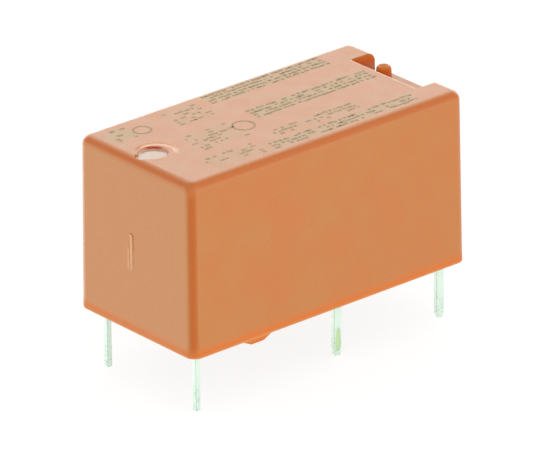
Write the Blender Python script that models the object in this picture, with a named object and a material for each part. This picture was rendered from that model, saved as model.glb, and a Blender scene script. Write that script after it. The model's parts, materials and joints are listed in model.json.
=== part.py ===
"""Slim relay for a printed circuit board, with one normally open power contact.

Metres, +Z up. The origin is the middle of the body on the board's surface, which the standoffs rest on.
The coil end is at -X, the contact end with the vent notch is at +X, and the contact pins are along -Y.
The armature is modelled open, as it rests with no current in the coil.
"""

import math

import bmesh
import bpy
from mathutils import Vector

# Whole body
BODY_LENGTH = 20.0e-3
BODY_WIDTH = 9.85e-3
COVER_HEIGHT = 10.35e-3
STANDOFF_HEIGHT = 0.3e-3

# Gaps between pieces: one that seats, one that runs
SEAT_GAP = 0.04e-3
RUN_GAP = 0.07e-3

# Cover
COVER_WALL = 0.6e-3
COVER_TOP_WALL = 0.7e-3
COVER_DRAFT = math.radians(0.57)
CORNER_RADIUS = 0.62e-3
TOP_FILLET = 0.56e-3
INNER_RADIUS = 0.25e-3
CEILING_ROLL = 0.2e-3
CORNER_STEPS = 6
FILLET_STEPS = 6
STANDOFF_FROM_END = 4.62e-3
STANDOFF_TOP_WIDTH = 2.05e-3
STANDOFF_FOOT_WIDTH = 0.95e-3
STANDOFF_RELIEF = 0.02e-3
STOP_RIB_WIDTH = 0.8e-3
STOP_RIB_DEPTH = 0.3e-3
STOP_RIB_HEIGHT = 1.6e-3
STOP_RIB_FROM_MIDDLE = 3.0e-3

# Notch at the contact end, with its vent pip
NOTCH_LENGTH = 1.85e-3
NOTCH_NEAR_SIDE = 2.12e-3
NOTCH_FAR_SIDE = 2.24e-3
NOTCH_FLOOR_WALL = 0.45e-3
SHELF_WIDTH = 4.1e-3
SHELF_DEPTH = 0.87e-3
POCKET_DEPTH = 1.35e-3
PIP_FROM_END = 1.03e-3
PIP_INSIDE_SHELF = 0.43e-3
PIP_TOP_RADIUS = 0.43e-3
PIP_ROOT_RADIUS = 0.47e-3
PIP_EDGE = 0.18e-3

# Dish in the top at the coil end: a shallow bowl, a pit inside it and a break in its lip toward the end
BOWL_FROM_END = 1.84e-3
BOWL_SIDEWAYS = 0.17e-3
BOWL_RADIUS = 1.3e-3
BOWL_DEPTH = 0.06e-3
PIT_FROM_END = 1.66e-3
PIT_SIDEWAYS = 0.22e-3
PIT_RADIUS = 0.87e-3
PIT_DEPTH = 0.21e-3
BREAK_FROM_END = 0.94e-3
BREAK_SIDEWAYS = 0.14e-3
BREAK_RADIUS = 0.55e-3
BREAK_DEPTH = 0.21e-3
HOLLOW_SIDE = 0.05e-3

# Raised mark on the coil end
MARK_WIDTH = 0.46e-3
MARK_HEIGHT = 2.15e-3
MARK_PROUD = 0.07e-3
MARK_MIDDLE_ABOVE_RIM = 4.63e-3
MARK_SIDEWAYS = 0.35e-3

# Sealing resin and base
RESIN_RECESS = 0.1e-3
RESIN_THICKNESS = 0.35e-3
BASE_THICKNESS = 0.7e-3
BASE_EDGE_BEVEL = 0.08e-3
RAIL_HEIGHT = 0.3e-3
RAIL_WIDTH = 0.8e-3
BARRIER_THICKNESS = 0.6e-3
BARRIER_CARD_GAP = 0.35e-3
BACKING_RIB_THICKNESS = 0.5e-3
BACKING_RIB_WIDTH = 1.8e-3
BACKING_RIB_HEIGHT = 1.3e-3
CONTACT_CHAMBER = 5.6e-3

# Pins
PIN_FROM_SIDE = 1.115e-3
COIL_PIN_FROM_END = 1.1e-3
FAR_PIN_FROM_END = 1.12e-3
CONTACT_PIN_PITCH = 7.62e-3
COIL_PIN_SIDE = 0.34e-3
COIL_PIN_BELOW_BOARD = 3.37e-3
BLADE_WIDTH = 0.55e-3
BLADE_THICKNESS = 0.3e-3
BLADE_BELOW_BOARD = 3.2e-3
BLADE_TAPER = 0.75e-3
BLADE_TIP_WIDTH = 0.26e-3
COIN_WIDTH = 0.32e-3
COIN_LENGTH = 1.05e-3
COIN_DEPTH = 0.07e-3
COIN_ABOVE_TIP = 0.6e-3
PIN_EDGE = 0.03e-3

# Magnet
YOKE_THICKNESS = 0.9e-3
YOKE_PAST_COIL = 0.05e-3
YOKE_BEND_RADIUS = 0.25e-3
YOKE_ABOVE_CORE = 1.9e-3
CORE_SHARE_OF_COIL = 0.436
POLE_INSIDE_COIL = 0.45e-3
POLE_THICKNESS = 0.8e-3
POLE_EDGE = 0.12e-3
TENON_SHOULDER = 0.4e-3
TENON_HEAD_LIP = 0.35e-3
TENON_HEAD_HEIGHT = 0.22e-3
TENON_HEAD_DOME = ((0.6, 0.8), (1.0, 0.4))
TENON_CLEARANCE = 0.1e-3
ARMATURE_THICKNESS = 0.7e-3
ARMATURE_STROKE = math.radians(4.5)
ARMATURE_FOOT_LIFT = 0.1e-3
ARMATURE_SHOULDER_DROP = 0.45e-3
ARMATURE_CORNER = 0.3e-3
TONGUE_WIDTH = 1.8e-3
TONGUE_ABOVE_CARD = 0.2e-3
SHIM_SHARE_OF_POLE = 0.65
SHIM_THICKNESS = 0.1e-3
LEAF_THICKNESS = 0.1e-3
LEAF_SIDE_ROOM = 0.5e-3
LEAF_FIXED_LENGTH = 2.8e-3
LEAF_FREE_LENGTH = 2.7e-3
LEAF_BEND_RADIUS = 0.25e-3

# Coil
FLANGE_THICKNESS = 0.6e-3
FLANGE_PIN_CLEARANCE = 0.26e-3
FLANGE_CORNER = 0.4e-3
BOBBIN_TUBE_WALL = 0.4e-3
WINDING_MARGIN = 0.25e-3
WINDING_CROWN = 0.12e-3
TAPE_THICKNESS = 0.06e-3
TAPE_OVERLAP = math.radians(35)
TAPE_END_MARGIN = 0.6e-3
EAR_WALL = 0.35e-3
EAR_OUTER_WALL = 0.21e-3
EAR_END_OVERHANG = 0.3e-3
EAR_HEIGHT = 2.1e-3
POST_HEIGHT = 1.4e-3
LEAD_RADIUS = 0.06e-3
LEAD_TURNS = 3
LEAD_POST_GAP = 0.04e-3
LEAD_INSIDE_FLANGE = 0.2e-3

# Actuator card
CARD_THICKNESS = 0.6e-3
CARD_WIDTH = 3.2e-3
CARD_HEADROOM = 0.5e-3
CARD_END_ROOM = 0.35e-3
CARD_END_BAR = 0.4e-3
CARD_WAIST = 0.35e-3
GUIDE_LUG_WIDTH = 0.5e-3

# Contacts
SPRING_FROM_BARRIER = 2.4e-3
SPRING_THICKNESS = 0.12e-3
SPRING_WIDTH = 3.4e-3
SPRING_TIP_WIDTH = 2.2e-3
SPRING_ABOVE_CARD = 0.1e-3
SPRING_FOOT = 0.45e-3
STAKE_HEIGHT = 1.1e-3
STAKE_RADIUS = 0.25e-3
STAKE_HEAD_RADIUS = 0.42e-3
STAKE_HEAD_HEIGHT = 0.15e-3
STAKE_SPACING = 2.0e-3
CONTACT_BELOW_CARD = 1.8e-3
CONTACT_RADIUS = 0.9e-3
CONTACT_HEAD = 0.45e-3
CONTACT_CROWN = 0.15e-3
CONTACT_SHANK_RADIUS = 0.42e-3
CONTACT_TAIL_RADIUS = 0.62e-3
CONTACT_TAIL = 0.22e-3
CONTACT_TAIL_TAPER = 0.7
CLOSED_GAP = 0.05e-3
TERMINAL_BAR_HEIGHT = 1.0e-3
POST_WIDTH = 2.8e-3
POST_ABOVE_CONTACT = 1.1e-3
POST_BASE_HEIGHT = 2.0e-3
PLATE_CORNER = 0.3e-3

# Levels that follow from the sizes
HALF_LENGTH = BODY_LENGTH / 2
HALF_WIDTH = BODY_WIDTH / 2
RIM = STANDOFF_HEIGHT
TOP = RIM + COVER_HEIGHT
CEILING = TOP - COVER_TOP_WALL
RESIN_LOW = RIM + RESIN_RECESS
RESIN_HIGH = RESIN_LOW + RESIN_THICKNESS
BASE_LOW = RESIN_HIGH + SEAT_GAP
BASE_TOP = BASE_LOW + BASE_THICKNESS
FLOOR = BASE_TOP + SEAT_GAP
YOKE_LOW = BASE_TOP + RAIL_HEIGHT + SEAT_GAP
YOKE_HIGH = YOKE_LOW + YOKE_THICKNESS
CARD_TOP = CEILING - CARD_HEADROOM
CARD_LOW = CARD_TOP - CARD_THICKNESS
CARD_MIDDLE = (CARD_TOP + CARD_LOW) / 2
FLANGE_TOP = CARD_LOW - RUN_GAP
CORE_HEIGHT = (YOKE_HIGH + FLANGE_TOP) / 2

# Places along the body, from the coil end
PIN_ROW = HALF_WIDTH - PIN_FROM_SIDE
COIL_PIN_X = COIL_PIN_FROM_END - HALF_LENGTH
FAR_PIN_X = HALF_LENGTH - FAR_PIN_FROM_END
NEAR_PIN_X = FAR_PIN_X - CONTACT_PIN_PITCH
COIL_END_WALL = COVER_WALL + COVER_HEIGHT * math.tan(COVER_DRAFT) - HALF_LENGTH
CARD_START = COIL_END_WALL + CARD_END_ROOM
WINDOW_START = CARD_START + CARD_END_BAR
TONGUE_RUN = ARMATURE_THICKNESS / math.cos(ARMATURE_STROKE) + CARD_THICKNESS * math.tan(ARMATURE_STROKE)
WINDOW_LENGTH = TONGUE_RUN + 2 * RUN_GAP
HINGE_Z = YOKE_LOW
CARD_TRAVEL = (CARD_MIDDLE - HINGE_Z) * math.tan(ARMATURE_STROKE)
TONGUE_MIDDLE = WINDOW_START + WINDOW_LENGTH / 2
HINGE_X = TONGUE_MIDDLE + ARMATURE_THICKNESS / 2 / math.cos(ARMATURE_STROKE) + CARD_TRAVEL
POLE_FACE = HINGE_X + SHIM_THICKNESS + 2 * SEAT_GAP
FLANGE_START = POLE_FACE + POLE_THICKNESS + SEAT_GAP

# Places along the body, from the contact end
BARRIER_END = HALF_LENGTH - COVER_WALL - CONTACT_CHAMBER
BARRIER_START = BARRIER_END - BARRIER_THICKNESS
YOKE_BACK = BARRIER_START - TENON_HEAD_HEIGHT - TENON_CLEARANCE
YOKE_FRONT = YOKE_BACK - YOKE_THICKNESS
FLANGE_END = YOKE_FRONT - SEAT_GAP
SPRING_X = BARRIER_END + SPRING_FROM_BARRIER
STAKE_Z = FLOOR + STAKE_HEIGHT
CONTACT_Z = CARD_LOW - CONTACT_BELOW_CARD
SPRING_SWING = math.atan(CARD_TRAVEL / (CARD_LOW - STAKE_Z))
TAB_FACE = SPRING_X - SPRING_THICKNESS / 2 - RUN_GAP
CONTACT_FRONT = SPRING_THICKNESS / 2 + SEAT_GAP + CONTACT_HEAD
CONTACT_REACH = CONTACT_FRONT * math.cos(SPRING_SWING) + (CONTACT_Z - STAKE_Z) * math.sin(SPRING_SWING)
FIXED_FRONT = SPRING_X + CONTACT_REACH + CLOSED_GAP
POST_FACE = FIXED_FRONT + CONTACT_HEAD + SEAT_GAP
POST_BACK = POST_FACE + BLADE_THICKNESS

# Flange size, coil radii and the width of the iron between the ears
FLANGE_HALF_WIDTH = PIN_ROW - BLADE_THICKNESS / 2 - FLANGE_PIN_CLEARANCE
WINDING_RADIUS = min(FLANGE_TOP - CORE_HEIGHT, FLANGE_HALF_WIDTH) - WINDING_MARGIN
CORE_RADIUS = WINDING_RADIUS * CORE_SHARE_OF_COIL
BORE_RADIUS = CORE_RADIUS + SEAT_GAP
TUBE_RADIUS = BORE_RADIUS + BOBBIN_TUBE_WALL
POLE_RADIUS = WINDING_RADIUS - POLE_INSIDE_COIL
TENON_RADIUS = CORE_RADIUS - TENON_SHOULDER
TENON_HEAD_RADIUS = TENON_RADIUS + TENON_HEAD_LIP
SHIM_RADIUS = POLE_RADIUS * SHIM_SHARE_OF_POLE
EAR_INNER = PIN_ROW - COIL_PIN_SIDE / 2 - EAR_WALL
YOKE_WIDTH = 2 * WINDING_RADIUS + YOKE_PAST_COIL
LEAF_WIDTH = YOKE_WIDTH - 2 * RAIL_WIDTH - 2 * LEAF_SIDE_ROOM
WINDING_START = FLANGE_START + FLANGE_THICKNESS + SEAT_GAP
WINDING_END = FLANGE_END - FLANGE_THICKNESS - SEAT_GAP

# Cutters run this far past what they cut, and joined shapes overlap by this much
CUT_OVER = 0.5e-3
JOIN_OVER = 0.1e-3

# Sides of a full circle, and steps of a half circle and of a bend
COIL_SIDES = 36
ROUND_SIDES = 32
RIVET_SIDES = 28
HOLE_SIDES = 24
STAKE_SIDES = 16
HALF_CIRCLE_STEPS = 6
BEND_STEPS = 6


def inset_at(height):
    """How far the drafted outside has moved in at a height."""
    return (height - RIM) * math.tan(COVER_DRAFT)


def clear_scene():
    for item in list(bpy.data.objects):
        bpy.data.objects.remove(item)


def plastic(name, colour, roughness):
    return make_material(name, colour, roughness, 0.0)


def metal(name, colour, roughness):
    return make_material(name, colour, roughness, 1.0)


def make_material(name, colour, roughness, metallic):
    material = bpy.data.materials.new(name)
    material.use_nodes = True
    shader = material.node_tree.nodes["Principled BSDF"]
    shader.inputs["Base Color"].default_value = (*colour, 1.0)
    shader.inputs["Roughness"].default_value = roughness
    shader.inputs["Metallic"].default_value = metallic
    return material


def finish_object(name, mesh_data, material):
    """Turns a bmesh into a linked object with smooth round faces and sharp corners."""
    bmesh.ops.recalc_face_normals(mesh_data, faces=mesh_data.faces)
    mesh = bpy.data.meshes.new(name)
    mesh_data.to_mesh(mesh)
    mesh_data.free()
    mesh.shade_smooth()
    mesh.set_sharp_from_angle(angle=math.radians(35))
    item = bpy.data.objects.new(name, mesh)
    bpy.context.scene.collection.objects.link(item)
    if material:
        mesh.materials.append(material)
    return item


def hide_guide(item):
    item.hide_render = True
    item.display_type = "WIRE"
    return item


def boolean(item, other, operation):
    modifier = item.modifiers.new(operation.lower(), "BOOLEAN")
    modifier.operation = operation
    modifier.solver = "EXACT"
    modifier.object = hide_guide(other)
    return item


def cut(item, cutter):
    return boolean(item, cutter, "DIFFERENCE")


def join(item, other):
    return boolean(item, other, "UNION")


def bevel(item, width, segments=2):
    modifier = item.modifiers.new("bevel", "BEVEL")
    modifier.width = width
    modifier.segments = segments
    modifier.limit_method = "ANGLE"
    modifier.angle_limit = math.radians(50)
    return item


def stack(name, rings, material=None):
    """Closed body from a stack of rings with the same number of points, capped at both ends."""
    data = bmesh.new()
    rows = [[data.verts.new(point) for point in ring] for ring in rings]
    count = len(rings[0])
    for low, high in zip(rows, rows[1:]):
        for i in range(count):
            j = (i + 1) % count
            data.faces.new((low[i], low[j], high[j], high[i]))
    data.faces.new(list(reversed(rows[0])))
    data.faces.new(rows[-1])
    return finish_object(name, data, material)


def block(name, low, high, material=None):
    corners = [(low[0], low[1]), (high[0], low[1]), (high[0], high[1]), (low[0], high[1])]
    rings = [[(x, y, z) for x, y in corners] for z in (low[2], high[2])]
    return stack(name, rings, material)


def plate(name, outline, axis, low, high, material=None):
    """Outline pushed along an axis: 'X' takes (y, z) points, 'Y' takes (x, z) and 'Z' takes (x, y)."""
    place = {
        "X": lambda a, b, c: (c, a, b),
        "Y": lambda a, b, c: (a, c, b),
        "Z": lambda a, b, c: (a, b, c),
    }[axis]
    rings = [[place(a, b, level) for a, b in outline] for level in (low, high)]
    return stack(name, rings, material)


def arc(centre, radius, start, end, steps):
    angles = [start + (end - start) * i / steps for i in range(steps + 1)]
    return [(centre[0] + radius * math.cos(a), centre[1] + radius * math.sin(a)) for a in angles]


def rounded_box_ring(half_x, half_y, radius, steps=CORNER_STEPS):
    """Anticlockwise outline of a rectangle with round corners."""
    x, y = half_x - radius, half_y - radius
    quarter = math.pi / 2
    points = []
    for turn, (cx, cy) in enumerate(((x, y), (-x, y), (-x, -y), (x, -y))):
        points += arc((cx, cy), radius, turn * quarter, (turn + 1) * quarter, steps)
    return points


def rounded(points, radius, steps=3):
    """The outline with each corner replaced by an arc, inner corners too."""
    share_of_side = 0.45
    corners = [Vector(p) for p in points]
    outline = []
    for i, corner in enumerate(corners):
        to_last = corners[i - 1] - corner
        to_next = corners[(i + 1) % len(corners)] - corner
        half_angle = to_last.angle(to_next) / 2
        longest = share_of_side * min(to_last.length, to_next.length)
        reach = min(radius / math.tan(half_angle), longest)
        true_radius = reach * math.tan(half_angle)
        middle = (to_last.normalized() + to_next.normalized()).normalized()
        centre = corner + middle * true_radius / math.sin(half_angle)
        first = corner + to_last.normalized() * reach - centre
        last = corner + to_next.normalized() * reach - centre
        turn = first.angle_signed(last)
        for step in range(steps + 1):
            angle = math.atan2(first.y, first.x) - turn * step / steps
            x = centre.x + true_radius * math.cos(angle)
            y = centre.y + true_radius * math.sin(angle)
            outline.append((x, y))
    return outline


def turned(name, profile, centre, material=None, segments=ROUND_SIDES):
    """Body turned about an X axis. The profile is (x, radius) from one pole or rim to the other."""
    data = bmesh.new()
    rows = []
    for x, radius in profile:
        if radius < 1e-9:
            rows.append([data.verts.new((x, centre[0], centre[1]))])
            continue
        circle = arc(centre, radius, 0, 2 * math.pi, segments)[:-1]
        rows.append([data.verts.new((x, y, z)) for y, z in circle])
    for a, b in zip(rows, rows[1:]):
        for i in range(segments):
            j = (i + 1) % segments
            near = [a[i], a[j]] if len(a) > 1 else [a[0]]
            far = [b[j], b[i]] if len(b) > 1 else [b[0]]
            data.faces.new(near + far)
    for row in (rows[0], rows[-1]):
        if len(row) > 1:
            data.faces.new(row)
    return finish_object(name, data, material)


def disc_along_z(name, centre, profile, segments=ROUND_SIDES):
    """Body turned about a Z axis. The profile is (radius, z), bottom to top, with no pole."""
    rings = []
    for radius, z in profile:
        circle = arc(centre, radius, 0, 2 * math.pi, segments)[:-1]
        rings.append([(x, y, z) for x, y in circle])
    return stack(name, rings)


def cover_shell(material):
    """Outside: drafted walls, then a quarter-round fillet up to the flat top."""
    rings = []
    shoulder = TOP - TOP_FILLET
    for height in (RIM, shoulder):
        inset = inset_at(height)
        ring = rounded_box_ring(HALF_LENGTH - inset, HALF_WIDTH - inset, CORNER_RADIUS)
        rings.append([(x, y, height) for x, y in ring])
    for step in range(1, FILLET_STEPS + 1):
        angle = math.pi / 2 * step / FILLET_STEPS
        rolled = TOP_FILLET * (1 - math.cos(angle))
        inset = inset_at(shoulder) + rolled
        height = shoulder + TOP_FILLET * math.sin(angle)
        ring = rounded_box_ring(HALF_LENGTH - inset, HALF_WIDTH - inset, CORNER_RADIUS - rolled)
        rings.append([(x, y, height) for x, y in ring])
    return stack("cover", rings, material)


def notch_box(name, shelf, grow, floor_drop):
    """One half of the end notch as a block: grown by a wall's thickness, it is the wall round that half."""
    near = NOTCH_NEAR_SIDE - HALF_WIDTH
    step = near + SHELF_WIDTH
    far = HALF_WIDTH - NOTCH_FAR_SIDE
    side_low, side_high = (near, step + JOIN_OVER) if shelf else (step, far)
    depth = SHELF_DEPTH if shelf else POCKET_DEPTH
    low = (HALF_LENGTH - NOTCH_LENGTH - grow, side_low - grow, TOP - depth - floor_drop)
    high = (HALF_LENGTH + CUT_OVER, side_high + grow, TOP + CUT_OVER)
    return block(name, low, high)


def stop_rib(name, side):
    """Rib inside a long wall that the base is pushed up against."""
    low_y = HALF_WIDTH - COVER_WALL - inset_at(FLOOR + STOP_RIB_HEIGHT) - STOP_RIB_DEPTH
    ys = sorted((side * low_y, side * (HALF_WIDTH + CUT_OVER)))
    low = (-STOP_RIB_FROM_MIDDLE - STOP_RIB_WIDTH / 2, ys[0], FLOOR)
    high = (-STOP_RIB_FROM_MIDDLE + STOP_RIB_WIDTH / 2, ys[1], FLOOR + STOP_RIB_HEIGHT)
    return block(name, low, high)


def cover_cavity():
    """The room inside the cover, which leaves the walls of the notch and two stop ribs standing."""
    rings = []
    rounded_from = CEILING - INNER_RADIUS
    for height, rolled in ((RIM - CUT_OVER, 0), (rounded_from, 0), (CEILING, CEILING_ROLL)):
        inset = COVER_WALL + inset_at(height) + rolled
        ring = rounded_box_ring(HALF_LENGTH - inset, HALF_WIDTH - inset, INNER_RADIUS)
        rings.append([(x, y, height) for x, y in ring])
    cavity = stack("cover_cavity", rings)
    cut(cavity, notch_box("shelf_walls", True, COVER_WALL, NOTCH_FLOOR_WALL))
    cut(cavity, notch_box("pocket_walls", False, COVER_WALL, NOTCH_FLOOR_WALL))
    cut(cavity, stop_rib("stop_rib_right", -1))
    cut(cavity, stop_rib("stop_rib_left", 1))
    return cavity


def standoff(name, middle, along_x, edge, wall):
    """Tapered foot that stands on the board, flush with a wall. Edge is the wall's outer face."""
    half_top = STANDOFF_TOP_WIDTH / 2
    half_foot = STANDOFF_FOOT_WIDTH / 2
    outline = [
        (middle - half_foot, 0.0),
        (middle + half_foot, 0.0),
        (middle + half_top, RIM),
        (middle + half_top, RIM + JOIN_OVER),
        (middle - half_top, RIM + JOIN_OVER),
        (middle - half_top, RIM),
    ]
    inner = edge - math.copysign(wall, edge)
    outer = edge - math.copysign(STANDOFF_RELIEF, edge)
    low, high = sorted((inner, outer))
    return plate(name, outline, "Y" if along_x else "X", low, high)


def vent_pip():
    """Post on the notch's shelf; the pocket's cutter trims it flush with the step."""
    centre = (HALF_LENGTH - PIP_FROM_END, NOTCH_NEAR_SIDE - HALF_WIDTH + SHELF_WIDTH - PIP_INSIDE_SHELF)
    profile = [
        (PIP_ROOT_RADIUS, TOP - SHELF_DEPTH - JOIN_OVER),
        (PIP_TOP_RADIUS, TOP - PIP_EDGE),
        (PIP_TOP_RADIUS - PIP_EDGE, TOP),
    ]
    return disc_along_z("vent_pip", centre, profile, HOLE_SIDES)


def hollow_cutter(name, from_end, sideways, radius, depth):
    """Round cutter for a hollow in the top whose side slopes a little."""
    profile = [(radius - HOLLOW_SIDE, TOP - depth), (radius, TOP), (radius, TOP + CUT_OVER)]
    return disc_along_z(name, (from_end - HALF_LENGTH, sideways), profile)


def cover(material):
    shell = cover_shell(material)
    cut(shell, cover_cavity())
    cut(shell, notch_box("notch_shelf", True, 0.0, 0.0))
    join(shell, vent_pip())
    cut(shell, notch_box("notch_pocket", False, 0.0, 0.0))

    cut(shell, hollow_cutter("dish_bowl", BOWL_FROM_END, BOWL_SIDEWAYS, BOWL_RADIUS, BOWL_DEPTH))
    cut(shell, hollow_cutter("dish_pit", PIT_FROM_END, PIT_SIDEWAYS, PIT_RADIUS, PIT_DEPTH))
    cut(shell, hollow_cutter("dish_break", BREAK_FROM_END, BREAK_SIDEWAYS, BREAK_RADIUS, BREAK_DEPTH))

    join(shell, end_mark())
    foot_x = STANDOFF_FROM_END - HALF_LENGTH
    join(shell, standoff("standoff_right", foot_x, True, -HALF_WIDTH, COVER_WALL))
    join(shell, standoff("standoff_left", foot_x, True, HALF_WIDTH, COVER_WALL))
    join(shell, standoff("standoff_end", 0.0, False, HALF_LENGTH, COVER_WALL))
    return shell


def end_mark():
    """Raised upright bar with round ends on the coil end."""
    radius = MARK_WIDTH / 2
    straight = MARK_HEIGHT / 2 - radius
    middle = RIM + MARK_MIDDLE_ABOVE_RIM
    ends = arc((MARK_SIDEWAYS, middle + straight), radius, 0, math.pi, HALF_CIRCLE_STEPS)
    ends += arc((MARK_SIDEWAYS, middle - straight), radius, math.pi, 2 * math.pi, HALF_CIRCLE_STEPS)
    face = inset_at(middle) - HALF_LENGTH
    return plate("end_mark", ends, "X", face - MARK_PROUD, face + JOIN_OVER)


def sealing_resin(material):
    inset = COVER_WALL + inset_at(RESIN_HIGH) + SEAT_GAP
    outline = rounded_box_ring(HALF_LENGTH - inset, HALF_WIDTH - inset, INNER_RADIUS)
    resin = plate("sealing_resin", outline, "Z", RESIN_LOW, RESIN_HIGH, material)
    cut_pin_slots(resin, RESIN_LOW, RESIN_HIGH, "resin")
    return resin


def cut_pin_slots(item, low, high, label):
    """A slot with seat clearance for each of the four pins."""
    half_coil = COIL_PIN_SIDE / 2 + SEAT_GAP
    half_blade = BLADE_WIDTH / 2 + SEAT_GAP
    half_thick = BLADE_THICKNESS / 2 + SEAT_GAP
    slots = [
        (COIL_PIN_X, -PIN_ROW, half_coil, half_coil),
        (COIL_PIN_X, PIN_ROW, half_coil, half_coil),
        (NEAR_PIN_X, -PIN_ROW, half_blade, half_thick),
        (FAR_PIN_X, -PIN_ROW, half_blade, half_thick),
    ]
    for number, (x, y, half_x, half_y) in enumerate(slots):
        low_corner = (x - half_x, y - half_y, low - CUT_OVER)
        high_corner = (x + half_x, y + half_y, high + CUT_OVER)
        cut(item, block(f"{label}_slot_{number}", low_corner, high_corner))


def base(material):
    inset = COVER_WALL + inset_at(BASE_TOP) + SEAT_GAP
    outline = rounded_box_ring(HALF_LENGTH - inset, HALF_WIDTH - inset, INNER_RADIUS)
    floor = plate("base", outline, "Z", BASE_LOW, BASE_TOP, material)

    barrier_top = CARD_LOW - BARRIER_CARD_GAP
    wall_half = HALF_WIDTH - COVER_WALL - inset_at(barrier_top) - SEAT_GAP
    low_z = BASE_TOP - JOIN_OVER
    wall = block("barrier", (BARRIER_START, -wall_half, low_z), (BARRIER_END, wall_half, barrier_top))
    bar_room = BLADE_THICKNESS / 2 + 2 * SEAT_GAP
    notch_low = (BARRIER_START - CUT_OVER, -HALF_WIDTH, BASE_TOP)
    notch_high = (BARRIER_END + CUT_OVER, bar_room - PIN_ROW, FLOOR + TERMINAL_BAR_HEIGHT + SEAT_GAP)
    cut(wall, block("barrier_notch", notch_low, notch_high))
    join(floor, wall)

    rail_start = HINGE_X + SEAT_GAP
    for side in (-1, 1):
        outer = side * YOKE_WIDTH / 2
        inner = side * (YOKE_WIDTH / 2 - RAIL_WIDTH)
        ys = sorted((outer, inner))
        rail_low = (rail_start, ys[0], low_z)
        rail_high = (YOKE_BACK, ys[1], BASE_TOP + RAIL_HEIGHT)
        join(floor, block(f"yoke_rail_{side}", rail_low, rail_high))

    half_rib = BACKING_RIB_WIDTH / 2
    tab_rib = TAB_FACE - BLADE_THICKNESS - SEAT_GAP - BACKING_RIB_THICKNESS
    post_rib = POST_BACK + SEAT_GAP
    for number, start in enumerate((tab_rib, post_rib)):
        rib_low = (start, -half_rib, low_z)
        rib_high = (start + BACKING_RIB_THICKNESS, half_rib, BASE_TOP + BACKING_RIB_HEIGHT)
        join(floor, block(f"backing_rib_{number}", rib_low, rib_high))
    cut_pin_slots(floor, BASE_LOW, BASE_TOP, "base")
    return floor


def coil_terminal(name, side, material):
    """Square wire pressed through the bobbin's ear, bare at both ends."""
    half = COIL_PIN_SIDE / 2
    low = (COIL_PIN_X - half, side * PIN_ROW - half, -COIL_PIN_BELOW_BOARD)
    high = (COIL_PIN_X + half, side * PIN_ROW + half, FLOOR + EAR_HEIGHT + POST_HEIGHT)
    return bevel(block(name, low, high, material), PIN_EDGE, 1)


def blade_outline(x):
    """Side view of a contact pin from its round tapered tip up into the base."""
    half = BLADE_WIDTH / 2
    tip = BLADE_TIP_WIDTH / 2
    bottom = -BLADE_BELOW_BOARD
    shoulder = bottom + BLADE_TAPER
    top = FLOOR + JOIN_OVER
    steps = 5
    right = []
    for step in range(steps + 1):
        angle = math.pi / 2 * step / steps
        right.append((x + tip + (half - tip) * math.sin(angle), shoulder - BLADE_TAPER * math.cos(angle)))
    left = [(2 * x - px, pz) for px, pz in reversed(right)]
    return right + [(x + half, top), (x - half, top)] + left


def coin_cutter():
    """Hollow pressed into the flat of the common pin near its tip."""
    x = NEAR_PIN_X
    radius = COIN_WIDTH / 2
    low = COIN_ABOVE_TIP - BLADE_BELOW_BOARD
    outline = arc((x, low + COIN_LENGTH - radius), radius, 0, math.pi, HALF_CIRCLE_STEPS)
    outline += arc((x, low + radius), radius, math.pi, 2 * math.pi, HALF_CIRCLE_STEPS)
    face = -PIN_ROW - BLADE_THICKNESS / 2
    return plate("coin", outline, "Y", face - CUT_OVER, face + COIN_DEPTH)


def common_terminal(material):
    """Pin, bar along the floor and upright tab, stamped and folded from one sheet."""
    half_thick = BLADE_THICKNESS / 2
    front, back = -PIN_ROW - half_thick, -PIN_ROW + half_thick
    terminal = plate("common_terminal", blade_outline(NEAR_PIN_X), "Y", front, back, material)
    cut(terminal, coin_cutter())
    bar_low = (NEAR_PIN_X - BLADE_WIDTH / 2, front, FLOOR)
    bar_high = (TAB_FACE, back, FLOOR + TERMINAL_BAR_HEIGHT)
    join(terminal, block("common_bar", bar_low, bar_high))
    tab_top = STAKE_Z + SPRING_FOOT
    tab_end = SPRING_WIDTH / 2
    bar_top = FLOOR + TERMINAL_BAR_HEIGHT
    tab = [
        (front, FLOOR),
        (tab_end, FLOOR),
        (tab_end, tab_top),
        (-tab_end, tab_top),
        (-tab_end, bar_top),
        (front, bar_top),
    ]
    join(terminal, plate("common_tab", tab, "X", TAB_FACE - BLADE_THICKNESS, TAB_FACE))
    head = SPRING_X + SPRING_THICKNESS / 2 + RUN_GAP
    profile = [
        (TAB_FACE - JOIN_OVER, STAKE_RADIUS),
        (head, STAKE_RADIUS),
        (head, STAKE_HEAD_RADIUS),
        (head + STAKE_HEAD_HEIGHT, STAKE_RADIUS),
    ]
    for side in (-1, 1):
        centre = (side * STAKE_SPACING / 2, STAKE_Z)
        join(terminal, turned(f"stake_{side}", profile, centre, segments=STAKE_SIDES))
    return terminal


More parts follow.
